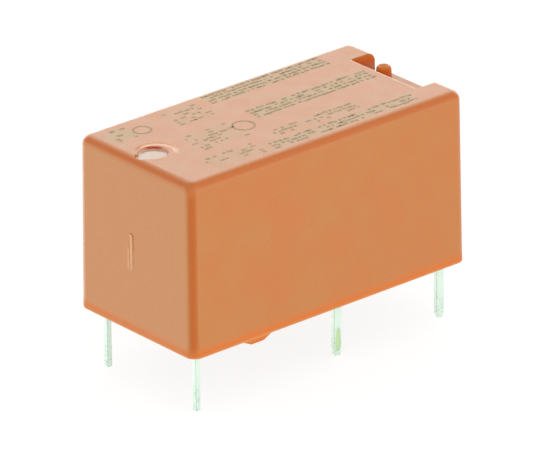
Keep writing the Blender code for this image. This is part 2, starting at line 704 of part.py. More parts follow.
def fixed_terminal(material):
    """Pin, short bar and the tall post that carries the fixed contact, folded from one sheet."""
    half_thick = BLADE_THICKNESS / 2
    front, back = -PIN_ROW - half_thick, -PIN_ROW + half_thick
    terminal = plate("fixed_terminal", blade_outline(FAR_PIN_X), "Y", front, back, material)
    bar_low = (POST_FACE, front, FLOOR)
    bar_high = (FAR_PIN_X + BLADE_WIDTH / 2, back, FLOOR + TERMINAL_BAR_HEIGHT)
    join(terminal, block("fixed_bar", bar_low, bar_high))
    half_post = POST_WIDTH / 2
    post_top = CONTACT_Z + POST_ABOVE_CONTACT
    shoulder = FLOOR + POST_BASE_HEIGHT
    post = [
        (front, FLOOR),
        (half_post, FLOOR),
        (half_post, post_top),
        (-half_post, post_top),
        (-half_post, shoulder),
        (front, shoulder),
    ]
    join(terminal, plate("fixed_post", rounded(post, PLATE_CORNER), "X", POST_FACE, POST_BACK))
    shank = CONTACT_SHANK_RADIUS + SEAT_GAP
    hole = [(POST_FACE - CUT_OVER, shank), (POST_BACK + CUT_OVER, shank)]
    cut(terminal, turned("fixed_contact_hole", hole, (0.0, CONTACT_Z), segments=HOLE_SIDES))
    return terminal


def contact_rivet(name, face, back, facing, centre, material):
    """Silver rivet through a sheet, crowned head on one side and formed tail on the other."""
    head = face + facing * SEAT_GAP
    front = head + facing * CONTACT_HEAD
    tail = back - facing * SEAT_GAP
    tail_end = tail - facing * CONTACT_TAIL
    profile = [(front, 0.0)]
    crown_steps = 4
    for step in range(1, crown_steps + 1):
        share = step / crown_steps
        profile.append((front - facing * CONTACT_CROWN * share * share, CONTACT_RADIUS * share))
    profile += [
        (head, CONTACT_RADIUS),
        (head, CONTACT_SHANK_RADIUS),
        (tail, CONTACT_SHANK_RADIUS),
        (tail, CONTACT_TAIL_RADIUS),
        ((tail + tail_end) / 2, CONTACT_TAIL_RADIUS),
        (tail_end, CONTACT_TAIL_RADIUS * CONTACT_TAIL_TAPER),
        (tail_end, 0.0),
    ]
    return turned(name, profile, centre, material, segments=RIVET_SIDES)


def place_on_pivot(item, pivot, tilt=0.0):
    """Moves an object's origin onto its pivot and turns it about a Y axis there."""
    for vertex in item.data.vertices:
        vertex.co -= pivot
    item.location = pivot
    item.rotation_euler = (0.0, tilt, 0.0)
    return item


def contact_spring(material):
    half = SPRING_WIDTH / 2
    tip = SPRING_TIP_WIDTH / 2
    low = STAKE_Z - SPRING_FOOT
    high = CARD_TOP + SPRING_ABOVE_CARD
    neck = CONTACT_Z + CONTACT_RADIUS
    outline = [
        (-half, low),
        (half, low),
        (half, neck),
        (tip, CARD_LOW),
        (tip, high),
        (-tip, high),
        (-tip, CARD_LOW),
        (-half, neck),
    ]
    back, front = SPRING_X - SPRING_THICKNESS / 2, SPRING_X + SPRING_THICKNESS / 2
    spring = plate("contact_spring", rounded(outline, PLATE_CORNER), "X", back, front, material)
    pivot = Vector((SPRING_X, 0.0, STAKE_Z))
    holes = [((0.0, CONTACT_Z), CONTACT_SHANK_RADIUS + SEAT_GAP)]
    holes += [((side * STAKE_SPACING / 2, STAKE_Z), STAKE_RADIUS + RUN_GAP) for side in (-1, 1)]
    for number, (centre, radius) in enumerate(holes):
        profile = [(back - CUT_OVER, radius), (front + CUT_OVER, radius)]
        cut(spring, turned(f"spring_hole_{number}", profile, centre, segments=HOLE_SIDES))
    return place_on_pivot(spring, pivot)


def moving_contact(material):
    back, front = SPRING_X - SPRING_THICKNESS / 2, SPRING_X + SPRING_THICKNESS / 2
    rivet = contact_rivet("moving_contact", front, back, 1, (0.0, CONTACT_Z), material)
    return place_on_pivot(rivet, Vector((SPRING_X, 0.0, STAKE_Z)))


def fixed_contact(material):
    return contact_rivet("fixed_contact", POST_FACE, POST_BACK, -1, (0.0, CONTACT_Z), material)


def yoke(material):
    """Steel strip bent once: the long leg under the coil, the short one up behind it."""
    left = HINGE_X + SEAT_GAP
    top = CORE_HEIGHT + YOKE_ABOVE_CORE
    outer = YOKE_BEND_RADIUS + YOKE_THICKNESS
    outline = [(left, YOKE_LOW)]
    outline += arc((YOKE_BACK - outer, YOKE_LOW + outer), outer, -math.pi / 2, 0, BEND_STEPS)
    outline += [(YOKE_BACK, top), (YOKE_FRONT, top)]
    inner_centre = (YOKE_FRONT - YOKE_BEND_RADIUS, YOKE_HIGH + YOKE_BEND_RADIUS)
    outline += arc(inner_centre, YOKE_BEND_RADIUS, 0, -math.pi / 2, BEND_STEPS)
    outline.append((left, YOKE_HIGH))
    strip = plate("yoke", outline, "Y", -YOKE_WIDTH / 2, YOKE_WIDTH / 2, material)
    hole_radius = TENON_RADIUS + SEAT_GAP
    hole = [(YOKE_FRONT - CUT_OVER, hole_radius), (YOKE_BACK + CUT_OVER, hole_radius)]
    cut(strip, turned("tenon_hole", hole, (0.0, CORE_HEIGHT), segments=HOLE_SIDES))
    return strip


def core(material):
    """Turned iron core: pole disc, shaft, and a tenon riveted over behind the yoke."""
    shoulder = YOKE_FRONT - SEAT_GAP
    rivet = YOKE_BACK + SEAT_GAP
    profile = [
        (POLE_FACE, 0.0),
        (POLE_FACE, POLE_RADIUS - POLE_EDGE),
        (POLE_FACE + POLE_EDGE, POLE_RADIUS),
        (POLE_FACE + POLE_THICKNESS, POLE_RADIUS),
        (POLE_FACE + POLE_THICKNESS, CORE_RADIUS),
        (shoulder, CORE_RADIUS),
        (shoulder, TENON_RADIUS),
        (rivet, TENON_RADIUS),
        (rivet, TENON_HEAD_RADIUS),
    ]
    for height_share, radius_share in TENON_HEAD_DOME:
        profile.append((rivet + TENON_HEAD_HEIGHT * height_share, TENON_HEAD_RADIUS * radius_share))
    profile.append((rivet + TENON_HEAD_HEIGHT, 0.0))
    return turned("core", profile, (0.0, CORE_HEIGHT), material)


def armature(material):
    """Flat iron plate that rocks on the yoke's end, with a tongue up into the card."""
    half = YOKE_WIDTH / 2
    tongue = TONGUE_WIDTH / 2
    foot = HINGE_Z + ARMATURE_FOOT_LIFT
    shoulder = CARD_LOW - ARMATURE_SHOULDER_DROP
    top = CARD_TOP + TONGUE_ABOVE_CARD
    outline = [
        (-half, foot),
        (half, foot),
        (half, shoulder),
        (tongue, shoulder),
        (tongue, top),
        (-tongue, top),
        (-tongue, shoulder),
        (-half, shoulder),
    ]
    blank = rounded(outline, ARMATURE_CORNER)
    piece = plate("armature", blank, "X", HINGE_X - ARMATURE_THICKNESS, HINGE_X, material)
    return place_on_pivot(piece, Vector((HINGE_X, 0.0, HINGE_Z)), -ARMATURE_STROKE)


def residual_shim(material):
    """Thin disc on the armature that keeps it from sticking to the pole."""
    start = HINGE_X + SEAT_GAP
    end = start + SHIM_THICKNESS
    profile = [(start, 0.0), (start, SHIM_RADIUS), (end, SHIM_RADIUS), (end, 0.0)]
    disc = turned("residual_shim", profile, (0.0, CORE_HEIGHT), material, segments=RIVET_SIDES)
    return place_on_pivot(disc, Vector((HINGE_X, 0.0, HINGE_Z)), -ARMATURE_STROKE)


def armature_spring(material):
    """Leaf held under the yoke, bent up round the armature's foot and along its back."""
    tilt = ARMATURE_STROKE
    under = YOKE_LOW - SEAT_GAP - LEAF_THICKNESS / 2
    away = SEAT_GAP + LEAF_THICKNESS / 2
    along = Vector((math.cos(tilt), math.sin(tilt)))
    up = Vector((-math.sin(tilt), math.cos(tilt)))
    back_foot = Vector((HINGE_X, HINGE_Z)) - along * (ARMATURE_THICKNESS + away)
    turn = math.pi / 2 - tilt
    reach = LEAF_BEND_RADIUS * math.tan(turn / 2)
    drop = (back_foot.y - under) / up.y
    corner = back_foot - up * drop
    centre = Vector((corner.x + reach, under + LEAF_BEND_RADIUS))
    middle = [(HINGE_X + LEAF_FIXED_LENGTH, under), (centre.x, under)]
    for step in range(1, BEND_STEPS + 1):
        angle = -math.pi / 2 - turn * step / BEND_STEPS
        bend = LEAF_BEND_RADIUS * Vector((math.cos(angle), math.sin(angle)))
        middle.append(tuple(centre + bend))
    end = Vector(middle[-1]) + up * LEAF_FREE_LENGTH
    middle.append((end.x, end.y))
    outline = offset_strip(middle, LEAF_THICKNESS / 2)
    return plate("armature_spring", outline, "Y", -LEAF_WIDTH / 2, LEAF_WIDTH / 2, material)


def offset_strip(middle, half):
    """Closed outline of a strip that follows a line at a constant thickness."""
    points = [Vector(p) for p in middle]
    left, right = [], []
    for i, point in enumerate(points):
        before = points[max(i - 1, 0)]
        after = points[min(i + 1, len(points) - 1)]
        along = (after - before).normalized()
        across = Vector((-along.y, along.x))
        left.append(tuple(point + across * half))
        right.append(tuple(point - across * half))
    return left + right[::-1]


def bobbin(material):
    """Tube with two flanges that stand over the yoke, ears for the coil pins and lugs that guide the card."""
    axis = (0.0, CORE_HEIGHT)
    spool = turned("bobbin", [(FLANGE_START, TUBE_RADIUS), (FLANGE_END, TUBE_RADIUS)], axis, material)
    half = FLANGE_HALF_WIDTH
    lug_inner = CARD_WIDTH / 2 + RUN_GAP
    lug_outer = lug_inner + GUIDE_LUG_WIDTH
    lug_top = CARD_TOP
    outline = [
        (-half, FLOOR),
        (half, FLOOR),
        (half, FLANGE_TOP),
        (lug_outer, FLANGE_TOP),
        (lug_outer, lug_top),
        (lug_inner, lug_top),
        (lug_inner, FLANGE_TOP),
        (-lug_inner, FLANGE_TOP),
        (-lug_inner, lug_top),
        (-lug_outer, lug_top),
        (-lug_outer, FLANGE_TOP),
        (-half, FLANGE_TOP),
    ]
    for name, start in (("flange_coil_end", FLANGE_START), ("flange_yoke_end", FLANGE_END - FLANGE_THICKNESS)):
        join(spool, plate(name, outline, "X", start, start + FLANGE_THICKNESS))
    ear_start = COIL_PIN_X - EAR_END_OVERHANG
    ear_inner = min(EAR_INNER, half - JOIN_OVER)
    ear_outer = PIN_ROW + COIL_PIN_SIDE / 2 + EAR_OUTER_WALL
    for side in (-1, 1):
        ys = sorted((side * ear_inner, side * ear_outer))
        ear_low = (ear_start, ys[0], FLOOR)
        ear_high = (FLANGE_START + FLANGE_THICKNESS, ys[1], FLOOR + EAR_HEIGHT)
        ear = block(f"ear_{side}", ear_low, ear_high)
        room = COIL_PIN_SIDE / 2 + SEAT_GAP
        hole_low = (COIL_PIN_X - room, side * PIN_ROW - room, FLOOR - CUT_OVER)
        hole_high = (COIL_PIN_X + room, side * PIN_ROW + room, FLOOR + EAR_HEIGHT + CUT_OVER)
        cut(ear, block(f"ear_hole_{side}", hole_low, hole_high))
        join(spool, ear)
    bore = [(FLANGE_START - CUT_OVER, BORE_RADIUS), (FLANGE_END + CUT_OVER, BORE_RADIUS)]
    cut(spool, turned("bobbin_bore", bore, axis))
    gate_half = YOKE_WIDTH / 2 + SEAT_GAP
    gate_low = (FLANGE_START - CUT_OVER, -gate_half, FLOOR - CUT_OVER)
    gate_high = (FLANGE_END + CUT_OVER, gate_half, YOKE_HIGH + YOKE_BEND_RADIUS)
    cut(spool, block("yoke_gate", gate_low, gate_high))
    return spool


def coil_winding(material):
    """Layered wire as one body: a thick tube whose outside is a little crowned."""
    inner = TUBE_RADIUS + SEAT_GAP
    outer = WINDING_RADIUS
    data = bmesh.new()
    steps = 8
    rows = [(WINDING_START, inner)]
    for step in range(steps + 1):
        share = step / steps
        bulge = WINDING_CROWN * (4 * share * (1 - share) - 1)
        rows.append((WINDING_START + (WINDING_END - WINDING_START) * share, outer + bulge))
    rows.append((WINDING_END, inner))
    circles = []
    for x, radius in rows:
        circle = arc((0.0, CORE_HEIGHT), radius, 0, 2 * math.pi, COIL_SIDES)[:-1]
        circles.append([data.verts.new((x, y, z)) for y, z in circle])
    for a, b in zip(circles, circles[1:] + circles[:1]):
        for i in range(COIL_SIDES):
            j = (i + 1) % COIL_SIDES
            data.faces.new((a[i], a[j], b[j], b[i]))
    return finish_object("coil_winding", data, material)


def coil_tape(material):
    """One turn of tape round the winding, its end lapped over its start."""
    steps = 40
    start_radius = WINDING_RADIUS + SEAT_GAP + TAPE_THICKNESS / 2
    rise = TAPE_THICKNESS + SEAT_GAP
    whole = 2 * math.pi + TAPE_OVERLAP
    middle = []
    for step in range(steps + 1):
        angle = whole * step / steps
        radius = start_radius + rise * angle / (2 * math.pi)
        middle.append((radius * math.sin(angle), CORE_HEIGHT + radius * math.cos(angle)))
    outline = offset_strip(middle, TAPE_THICKNESS / 2)
    start, end = WINDING_START + TAPE_END_MARGIN, WINDING_END - TAPE_END_MARGIN
    return plate("coil_tape", outline, "X", start, end, material)


def coil_lead(name, side, material):
    """Winding wire: turns round the terminal's post, then past the flange to the winding."""
    post_low = FLOOR + EAR_HEIGHT + SEAT_GAP + LEAD_RADIUS
    pitch = 2 * LEAD_RADIUS + SEAT_GAP
    radius = COIL_PIN_SIDE / math.sqrt(2) + LEAD_POST_GAP + LEAD_RADIUS
    points = []
    per_turn = 10
    for step in range(LEAD_TURNS * per_turn + 1):
        angle = 2 * math.pi * step / per_turn
        x = COIL_PIN_X + radius * math.cos(angle)
        y = side * (PIN_ROW - radius * math.sin(angle))
        points.append((x, y, post_low + pitch * step / per_turn))
    last = points[-1][2]
    flange_face = FLANGE_HALF_WIDTH + SEAT_GAP + 2 * LEAD_RADIUS
    landing = WINDING_RADIUS + LEAD_RADIUS + 2 * SEAT_GAP
    landing_x = WINDING_START + LEAD_RADIUS + LEAD_INSIDE_FLANGE
    halfway = (PIN_ROW - radius + flange_face) / 2
    points += [
        (FLANGE_START - FLANGE_THICKNESS, side * halfway, (last + CORE_HEIGHT) / 2),
        (FLANGE_START, side * flange_face, CORE_HEIGHT),
        (FLANGE_START + FLANGE_THICKNESS, side * flange_face, CORE_HEIGHT),
        (landing_x, side * landing, CORE_HEIGHT),
    ]
    curve = bpy.data.curves.new(name, "CURVE")
    curve.dimensions = "3D"
    curve.bevel_depth = LEAD_RADIUS
    curve.bevel_resolution = 1
    curve.use_fill_caps = True
    spline = curve.splines.new("POLY")
    spline.points.add(len(points) - 1)
    for target, point in zip(spline.points, points):
        target.co = (*point, 1.0)
    curve.materials.append(material)
    item = bpy.data.objects.new(name, curve)
    bpy.context.scene.collection.objects.link(item)
    return item


def actuator_card(material):
    """Slider over the coil: a window for the armature's tongue, a nose that pushes the spring."""
    half = CARD_WIDTH / 2
    start = CARD_START
    end = SPRING_X - SPRING_THICKNESS / 2 - SEAT_GAP
    nose = SPRING_TIP_WIDTH / 2
    waist = half - CARD_WAIST
    first = FLANGE_START + FLANGE_THICKNESS + CARD_TRAVEL
    last = FLANGE_END - FLANGE_THICKNESS - CARD_TRAVEL
    quarter = (last - first) / 4
    outline = [
        (start, -half),
        (first, -half),
        (first + quarter, -waist),
        (last - quarter, -waist),
        (last, -half),
        (end - BARRIER_THICKNESS, -half),
        (end, -nose),
        (end, nose),
        (end - BARRIER_THICKNESS, half),
        (last, half),
        (last - quarter, waist),
        (first + quarter, waist),
        (first, half),
        (start, half),
    ]
    card = plate("actuator_card", outline, "Z", CARD_LOW, CARD_TOP, material)
    room = TONGUE_WIDTH / 2 + RUN_GAP
    window_low = (WINDOW_START, -room, CARD_LOW - CUT_OVER)
    window_high = (WINDOW_START + WINDOW_LENGTH, room, CARD_TOP + CUT_OVER)
    cut(card, block("tongue_window", window_low, window_high))
    return card


def build():
    clear_scene()
    orange = plastic("orange_plastic", (0.58, 0.17, 0.05), 0.42)
    black = plastic("black_plastic", (0.03, 0.03, 0.03), 0.5)
    amber = plastic("amber_resin", (0.35, 0.2, 0.07), 0.25)
    ivory = plastic("ivory_plastic", (0.7, 0.66, 0.55), 0.45)
    tape = plastic("yellow_tape", (0.75, 0.55, 0.1), 0.4)
    enamel = metal("copper_enamel", (0.62, 0.25, 0.1), 0.3)
    tin = metal("tinned_copper", (0.75, 0.78, 0.74), 0.3)
    bronze = metal("spring_bronze", (0.72, 0.5, 0.3), 0.3)
    steel = metal("plated_iron", (0.6, 0.6, 0.58), 0.35)
    brass = metal("shim_brass", (0.75, 0.6, 0.3), 0.35)
    silver = metal("contact_silver", (0.85, 0.84, 0.8), 0.25)
    cover(orange)
    base(black)
    sealing_resin(amber)
    bobbin(ivory)
    coil_winding(enamel)
    coil_tape(tape)
    core(steel)
    yoke(steel)
    armature(steel)
    residual_shim(brass)
    armature_spring(bronze)
    actuator_card(ivory)
    contact_spring(bronze)
    moving_contact(silver)
    common_terminal(tin)
    fixed_terminal(tin)
    fixed_contact(silver)
    for label, side in (("left", 1), ("right", -1)):
        coil_terminal(f"coil_terminal_{label}", side, tin)
        coil_lead(f"coil_lead_{label}", side, enamel)


build()
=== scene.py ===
import json
import math

import bmesh
import bpy
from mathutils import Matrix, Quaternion, Vector, noise


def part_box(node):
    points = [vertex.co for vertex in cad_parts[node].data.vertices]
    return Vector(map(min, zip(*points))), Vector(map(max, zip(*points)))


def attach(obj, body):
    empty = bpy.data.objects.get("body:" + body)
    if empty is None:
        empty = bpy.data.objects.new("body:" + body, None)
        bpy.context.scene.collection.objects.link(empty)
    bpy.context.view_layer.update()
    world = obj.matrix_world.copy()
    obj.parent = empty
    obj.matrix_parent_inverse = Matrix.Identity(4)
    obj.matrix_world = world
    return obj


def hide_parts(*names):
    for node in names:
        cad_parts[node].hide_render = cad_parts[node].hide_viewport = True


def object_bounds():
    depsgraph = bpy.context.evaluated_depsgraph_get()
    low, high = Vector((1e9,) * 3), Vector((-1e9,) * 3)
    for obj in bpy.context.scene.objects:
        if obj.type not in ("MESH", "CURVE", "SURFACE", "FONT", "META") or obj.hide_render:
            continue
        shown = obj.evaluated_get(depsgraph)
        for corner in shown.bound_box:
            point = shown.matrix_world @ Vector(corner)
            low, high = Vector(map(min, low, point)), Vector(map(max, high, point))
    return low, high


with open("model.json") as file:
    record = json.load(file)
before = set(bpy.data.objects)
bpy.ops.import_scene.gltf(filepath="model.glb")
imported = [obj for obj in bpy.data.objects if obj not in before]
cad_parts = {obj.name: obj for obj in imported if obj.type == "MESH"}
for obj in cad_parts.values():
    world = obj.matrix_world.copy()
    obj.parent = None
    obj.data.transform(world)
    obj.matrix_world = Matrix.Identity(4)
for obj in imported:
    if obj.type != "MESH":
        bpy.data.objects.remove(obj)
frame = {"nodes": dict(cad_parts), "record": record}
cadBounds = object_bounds()
mm = 0.001
white = (1, 1, 1)


# nodes: a helper that takes a socket adds its node to that socket's tree

def plug(socket, value):
    # links another socket or a node's first output, or sets a plain value
    if isinstance(value, bpy.types.Node):
        value = value.outputs[0]
    if isinstance(value, bpy.types.NodeSocket):
        socket.id_data.links.new(value, socket)
    elif isinstance(value, tuple) and len(value) < len(socket.default_value):
        socket.default_value = (*value, 1)
    else:
        socket.default_value = value


def setInputs(node, values):
    # keys are sockets by name or number, or the node's own settings with a leading dot
    for key, value in values.items():
        if isinstance(key, str) and key.startswith("."):
            setattr(node, key[1:], value)
        else:
            plug(node.inputs[key], value)


def addNode(tree, kind, values=None):
    made = tree.nodes.new(kind if "Node" in kind else "ShaderNode" + kind)
    setInputs(made, values or {})
    return made


def maths(operation, a, b=None):
    source = b if isinstance(a, (int, float)) else a
    values = {".operation": operation, 0: a}
    if b is not None:
        values[1] = b
    return addNode(source.id_data, "Math", values).outputs[0]


def plus(a, b):
    return maths("ADD", a, b)


def minus(a, b):
    return maths("SUBTRACT", a, b)


def times(a, *others):
    for other in others:
        a = maths("MULTIPLY", a, other)
    return a


def highest(a, b):
    return maths("MAXIMUM", a, b)


def lowest(a, b):
    return maths("MINIMUM", a, b)


def absolute(a):
    return maths("ABSOLUTE", a)


def between(value, low, high):
    # 1 where the value lies between the limits
    return times(maths("GREATER_THAN", value, low), maths("LESS_THAN", value, high))


def rangeOf(value, low, high, toLow=0.0, toHigh=1.0, kind="LINEAR"):
    return addNode(value.id_data, "MapRange", {
        ".interpolation_type": kind,
        "Value": value,
        "From Min": low,
        "From Max": high,
        "To Min": toLow,
        "To Max": toHigh,
    }).outputs["Result"]


def axesOf(place):
    return list(addNode(place.id_data, "SeparateXYZ", {0: place}).outputs)


def noiseAt(place, size, detail=3.0, roughness=0.5):
    # size is the width of one feature in metres
    return addNode(place.id_data, "TexNoise", {
        "Scale": 1 / size,
        "Detail": detail,
        "Roughness": roughness,
        "Vector": place,
    }).outputs["Fac"]


def rampOf(value, stops):
    made = addNode(value.id_data, "ValToRGB", {0: value})
    ramp = made.color_ramp
    while len(ramp.elements) < len(stops):
        ramp.elements.new(0.5)
    for element, (place, colour) in zip(ramp.elements, stops):
        element.position = place
        element.color = (*colour, 1)
    return made.outputs[0]


def mixColours(factor, a, b):
    made = addNode(factor.id_data, "Mix", {".data_type": "RGBA", 0: factor, 6: a, 7: b})
    return made.outputs[2]


def layered(tone, *layers):
    # each layer is a mask and the colour that it brings
    for mask, colour in layers:
        tone = mixColours(mask, tone, colour)
    return tone


def bumpOf(height, depth, strength):
    return addNode(height.id_data, "Bump", {"Strength": strength, "Distance": depth, "Height": height})


# camera and light

cameraSet = {
    "azimuth": -40.296,
    "elevation": 24.084,
    "roll": -0.691,
    "distance": 0.4267,
    "aim": (-0.00047, -0.00027, 0.00406),
    "lens": 513.3,
    "sensor": 36.0,
    "clip": (0.01, 5.0),
}
lightSet = {
    "sky": 0.83,  # what lights matt surfaces from above
    "fill": 0.23,  # weak sun on the long side
    "fillAim": (-0.15, 0.95, -0.1),
    "fillSpread": 60,
    "background": 1.0,
    "glossBase": 0.10,  # what gloss sees away from the lit panels
    "panels": [  # direction, strength, inner and outer angle of each lit panel
        ((0.59, 0.70, -0.10), 0.9, 48, 72),
        ((0.59, 0.70, 0.41), 1.25, 28, 48),
        ((-0.59, 0.70, -0.41), 1.62, 30, 50),
        ((0.59, -0.70, -0.41), 0.77, 26, 46),
    ],
    "floorGlow": 0.83,
    "floorColour": (0.26, 0.26, 0.26),
    "floorSize": 0.7,
}


def linkObject(name, data):
    item = bpy.data.objects.new(name, data)
    bpy.context.scene.collection.objects.link(item)
    return item


def addCamera():
    data = bpy.data.cameras.new("camera")
    data.lens = cameraSet["lens"]
    data.sensor_width = cameraSet["sensor"]
    data.clip_start, data.clip_end = cameraSet["clip"]
    camera = linkObject("camera", data)
    azimuth = math.radians(cameraSet["azimuth"])
    elevation = math.radians(cameraSet["elevation"])
    look = Vector((-math.sin(azimuth) * math.cos(elevation),
                   math.cos(azimuth) * math.cos(elevation),
                   -math.sin(elevation)))
    camera.location = Vector(cameraSet["aim"]) - look * cameraSet["distance"]
    turn = look.to_track_quat("-Z", "Y") @ Quaternion((0, 0, 1), math.radians(cameraSet["roll"]))
    camera.rotation_euler = turn.to_euler()
    bpy.context.scene.camera = camera


def addWorld():
    world = bpy.data.worlds.new("studio")
    world.use_nodes = True
    bpy.context.scene.world = world
    tree = world.node_tree
    tree.nodes.clear()
    rays = addNode(tree, "LightPath").outputs
    direction = addNode(tree, "TexCoord").outputs["Generated"]
    level = lightSet["glossBase"]
    for aim, strength, inner, outer in lightSet["panels"]:
        facing = addNode(tree, "VectorMath", {
            ".operation": "DOT_PRODUCT", 0: direction, 1: Vector(aim).normalized()}).outputs["Value"]
        inner, outer = math.cos(math.radians(inner)), math.cos(math.radians(outer))
        level = plus(rangeOf(facing, outer, inner, 0, strength, "SMOOTHSTEP"), level)
    shiny = highest(rays["Is Glossy Ray"], rays["Is Transmission Ray"])
    ambient, panels, plain = [addNode(tree, "Background", {"Color": white, "Strength": strength})
                              for strength in (lightSet["sky"], level, lightSet["background"])]
    lit = addNode(tree, "MixShader", {0: shiny, 1: ambient, 2: panels})
    seen = addNode(tree, "MixShader", {0: rays["Is Camera Ray"], 1: lit, 2: plain})
    addNode(tree, "OutputWorld", {"Surface": seen})


def addFill():
    data = bpy.data.lights.new("fill", "SUN")
    data.energy = lightSet["fill"] * math.pi
    data.angle = math.radians(lightSet["fillSpread"])
    data.specular_factor = 0.0
    lamp = linkObject("fill", data)
    lamp.rotation_euler = Vector(lightSet["fillAim"]).to_track_quat("-Z", "Y").to_euler()


def addFloor():
    half = lightSet["floorSize"] / 2
    low = cadBounds[0][2]
    mesh = bpy.data.meshes.new("floor")
    corners = [(-half, -half, low), (half, -half, low), (half, half, low), (-half, half, low)]
    mesh.from_pydata(corners, [], [(0, 1, 2, 3)])
    floor = linkObject("floor", mesh)
    floor.visible_glossy = False
    material, shader = newMaterial("paleFloor")
    setInputs(shader, {
        "Base Color": lightSet["floorColour"],
        "Roughness": 0.9,
        "Specular IOR Level": 0.0,
        "Emission Color": white,
        "Emission Strength": lightSet["floorGlow"],
    })
    mesh.materials.append(material)


# materials

orange = {
    "colour": (0.578, 0.192, 0.036),
    "cool": (0.564, 0.202, 0.042),
    "warm": (0.592, 0.184, 0.032),
    "haze": (0.545, 0.228, 0.068),
    # painted shading: the end face gets a slightly less red tone than the long sides, for how the light falls
    # on it
    "end": (0.550, 0.198, 0.032),
    "printTint": (0.455, 0.236, 0.055),  # the cloudy ground under the marks
    # painted light and shade: the shelf in the notch is tinted paler and greyer than the plastic around it
    "shelf": (0.560, 0.260, 0.105),
    # painted glow of light through the plastic above the bottom rim
    "paintedRimGlow": (0.71, 0.176, 0.017),
    "rimLip": (0.73, 0.29, 0.09),  # the very edge, where the floor shines on it
    "edge": (0.665, 0.180, 0.045),  # thin and rounded places, where light gets through
    # the upright rounded edges, with a deeper painted glow
    "uprightEdge": (0.600, 0.138, 0.021),
    # painted highlights along the edges of the end mark
    "markHighlight": (0.720, 0.350, 0.150),
    "edgeHighlight": (1.00, 0.58, 0.38),  # painted highlight along sharp inner edges
    "edgeWidth": 0.55 * mm,
    "roughness": (0.27, 0.33),
    "rimRough": 0.35,
    "shelfRough": 0.12,
    "ior": 1.58,
    "grain": 0.16 * mm,
    "grainDepth": 0.0006 * mm,
}
hollow = {
    # painted glow and shade down the hollow walls, darker and pinker deep down
    "fall": [(0.0, (0.56, 0.17, 0.075)), (0.45, (0.66, 0.125, 0.016)), (1.0, (0.70, 0.175, 0.022))],
    "wash": (0.50, 0.10, 0.03),
    # painted light on the dish's wall, and painted shade on its far side
    "dishWall": (0.76, 0.40, 0.27),
    "dishWallShade": (0.56, 0.095, 0.055),
    "wallShadeAim": (0.647, 0.763),  # which side of the dish the painted red shade is on
    # pale tones painted for the reflection on the dish's polished floor
    "dishFloorSheen": ((0.62, 0.36, 0.24), (0.58, 0.46, 0.34)),
}
tin = {
    "drawn": ((0.72, 0.92, 0.78), (0.82, 0.98, 0.87)),
    "dipped": ((0.70, 0.88, 0.74), (0.42, 0.54, 0.45), (0.86, 0.96, 0.88)),  # plain, dark and pale
    "pressed": (0.52, 0.78, 0.34),
    "metallic": 0.22,
}


def camelName(label):
    # a node's or a slot's name in the form of this script's own names
    words = label.title().replace("_", "")
    return words[0].lower() + words[1:]


def newMaterial(name):
    material = bpy.data.materials.new(name)
    material.use_nodes = True
    return material, material.node_tree.nodes["Principled BSDF"]


def objectPlace(shader, scale=(1, 1, 1)):
    place = addNode(shader.id_data, "TexCoord").outputs["Object"]
    return addNode(shader.id_data, "Mapping", {"Scale": scale, "Vector": place}).outputs[0]


def edgeMask(place):
    # 1 on the rounded edges, 0 on the flats: the second smallest distance to the box's faces
    x, y, z = axesOf(place)
    lean = times(minus(z, standoffHeight), math.tan(coverSet["draft"]))
    fromEnd, fromSide = [minus(minus(half, absolute(along)), lean)
                         for along, half in ((x, halfLength), (y, halfWidth))]
    fromTop = minus(topHeight, z)
    inner = lowest(highest(fromEnd, fromSide), fromTop)
    second = highest(lowest(fromEnd, fromSide), inner)
    width = orange["edgeWidth"]
    return rangeOf(second, width * 0.85, width * 0.35), rangeOf(fromTop, 0.5 * mm, 0.9 * mm)


def markHighlightMask(place):
    # 1 along the painted highlights on the end mark's upright edges
    x, y, z = axesOf(place)
    lines = []
    for offset, low, high in markSet["lines"]:
        off = absolute(minus(y, markSet["sideways"] + offset))
        upright = between(z, markSet["middle"] + low, markSet["middle"] + high)
        lines.append(times(rangeOf(off, 0.10 * mm, 0.01 * mm), upright))
    onEnd = maths("LESS_THAN", x, 0.4 * mm - halfLength)
    return times(onEnd, highest(*lines))


def edgeHighlightMask(place):
    # painted highlight: 1 on the notch's long inner edge and on the far side of the dish's outer lip
    x, y, z = axesOf(place)
    line = halfLength - notchSet["length"] - notchSet["edgeRound"] * 0.35
    onLine = times(rangeOf(absolute(minus(x, line)), 0.11 * mm, 0.05 * mm), between(y, *notchSides))
    x, y = [minus(along, centre) for along, centre in zip((x, y), dishSet["bowlCentre"])]
    away = maths("SQRT", plus(times(x, x), times(y, y)))
    off = absolute(minus(away, dishSet["bowlRadius"] - 0.02 * mm))
    behind = plus(times(x, 0.86), times(y, 0.51))
    onLip = times(rangeOf(off, 0.19 * mm, 0.07 * mm, 0, 0.8), rangeOf(behind, 0.1 * mm, 0.6 * mm))
    nearTop = rangeOf(z, topHeight - 0.16 * mm, topHeight - 0.10 * mm)
    return times(nearTop, highest(onLine, onLip))


def printTintMask(place):
    # cloudy ground under each field of marks, stronger under the strong ones
    x, y, z = axesOf(place)
    ragged = rangeOf(noiseAt(place, 0.45 * mm, 3.0, 0.6), 0.3, 0.7, -0.22 * mm, 0.16 * mm)
    level = 0.0
    for field in printFields:
        gaps = []
        for along, corner, count, pitch in zip((x, y), field["corner"], (field["Columns"], field["Lines"]),
                                               (printGrid["Pitch"], printGrid["Line Pitch"])):
            half = (count - 1) * pitch / 2
            gaps.append(minus(absolute(minus(along, (corner + half) * mm)), half * mm))
        away = plus(highest(*gaps), ragged)
        inside = rangeOf(away, 0.20 * mm, -0.05 * mm, 0, 0.95 if field["strong"] else 0.55)
        level = highest(inside, level)
    return times(level, maths("GREATER_THAN", z, topHeight - 0.03 * mm))


def shelfMask(place):
    x, y, z = axesOf(place)
    level = topHeight - notchSet["shelfDepth"]
    return times(between(z, level - 0.04 * mm, level + 0.04 * mm),
                 between(x, halfLength - notchSet["length"], halfLength - 0.02 * mm),
                 between(y, *notchSides))


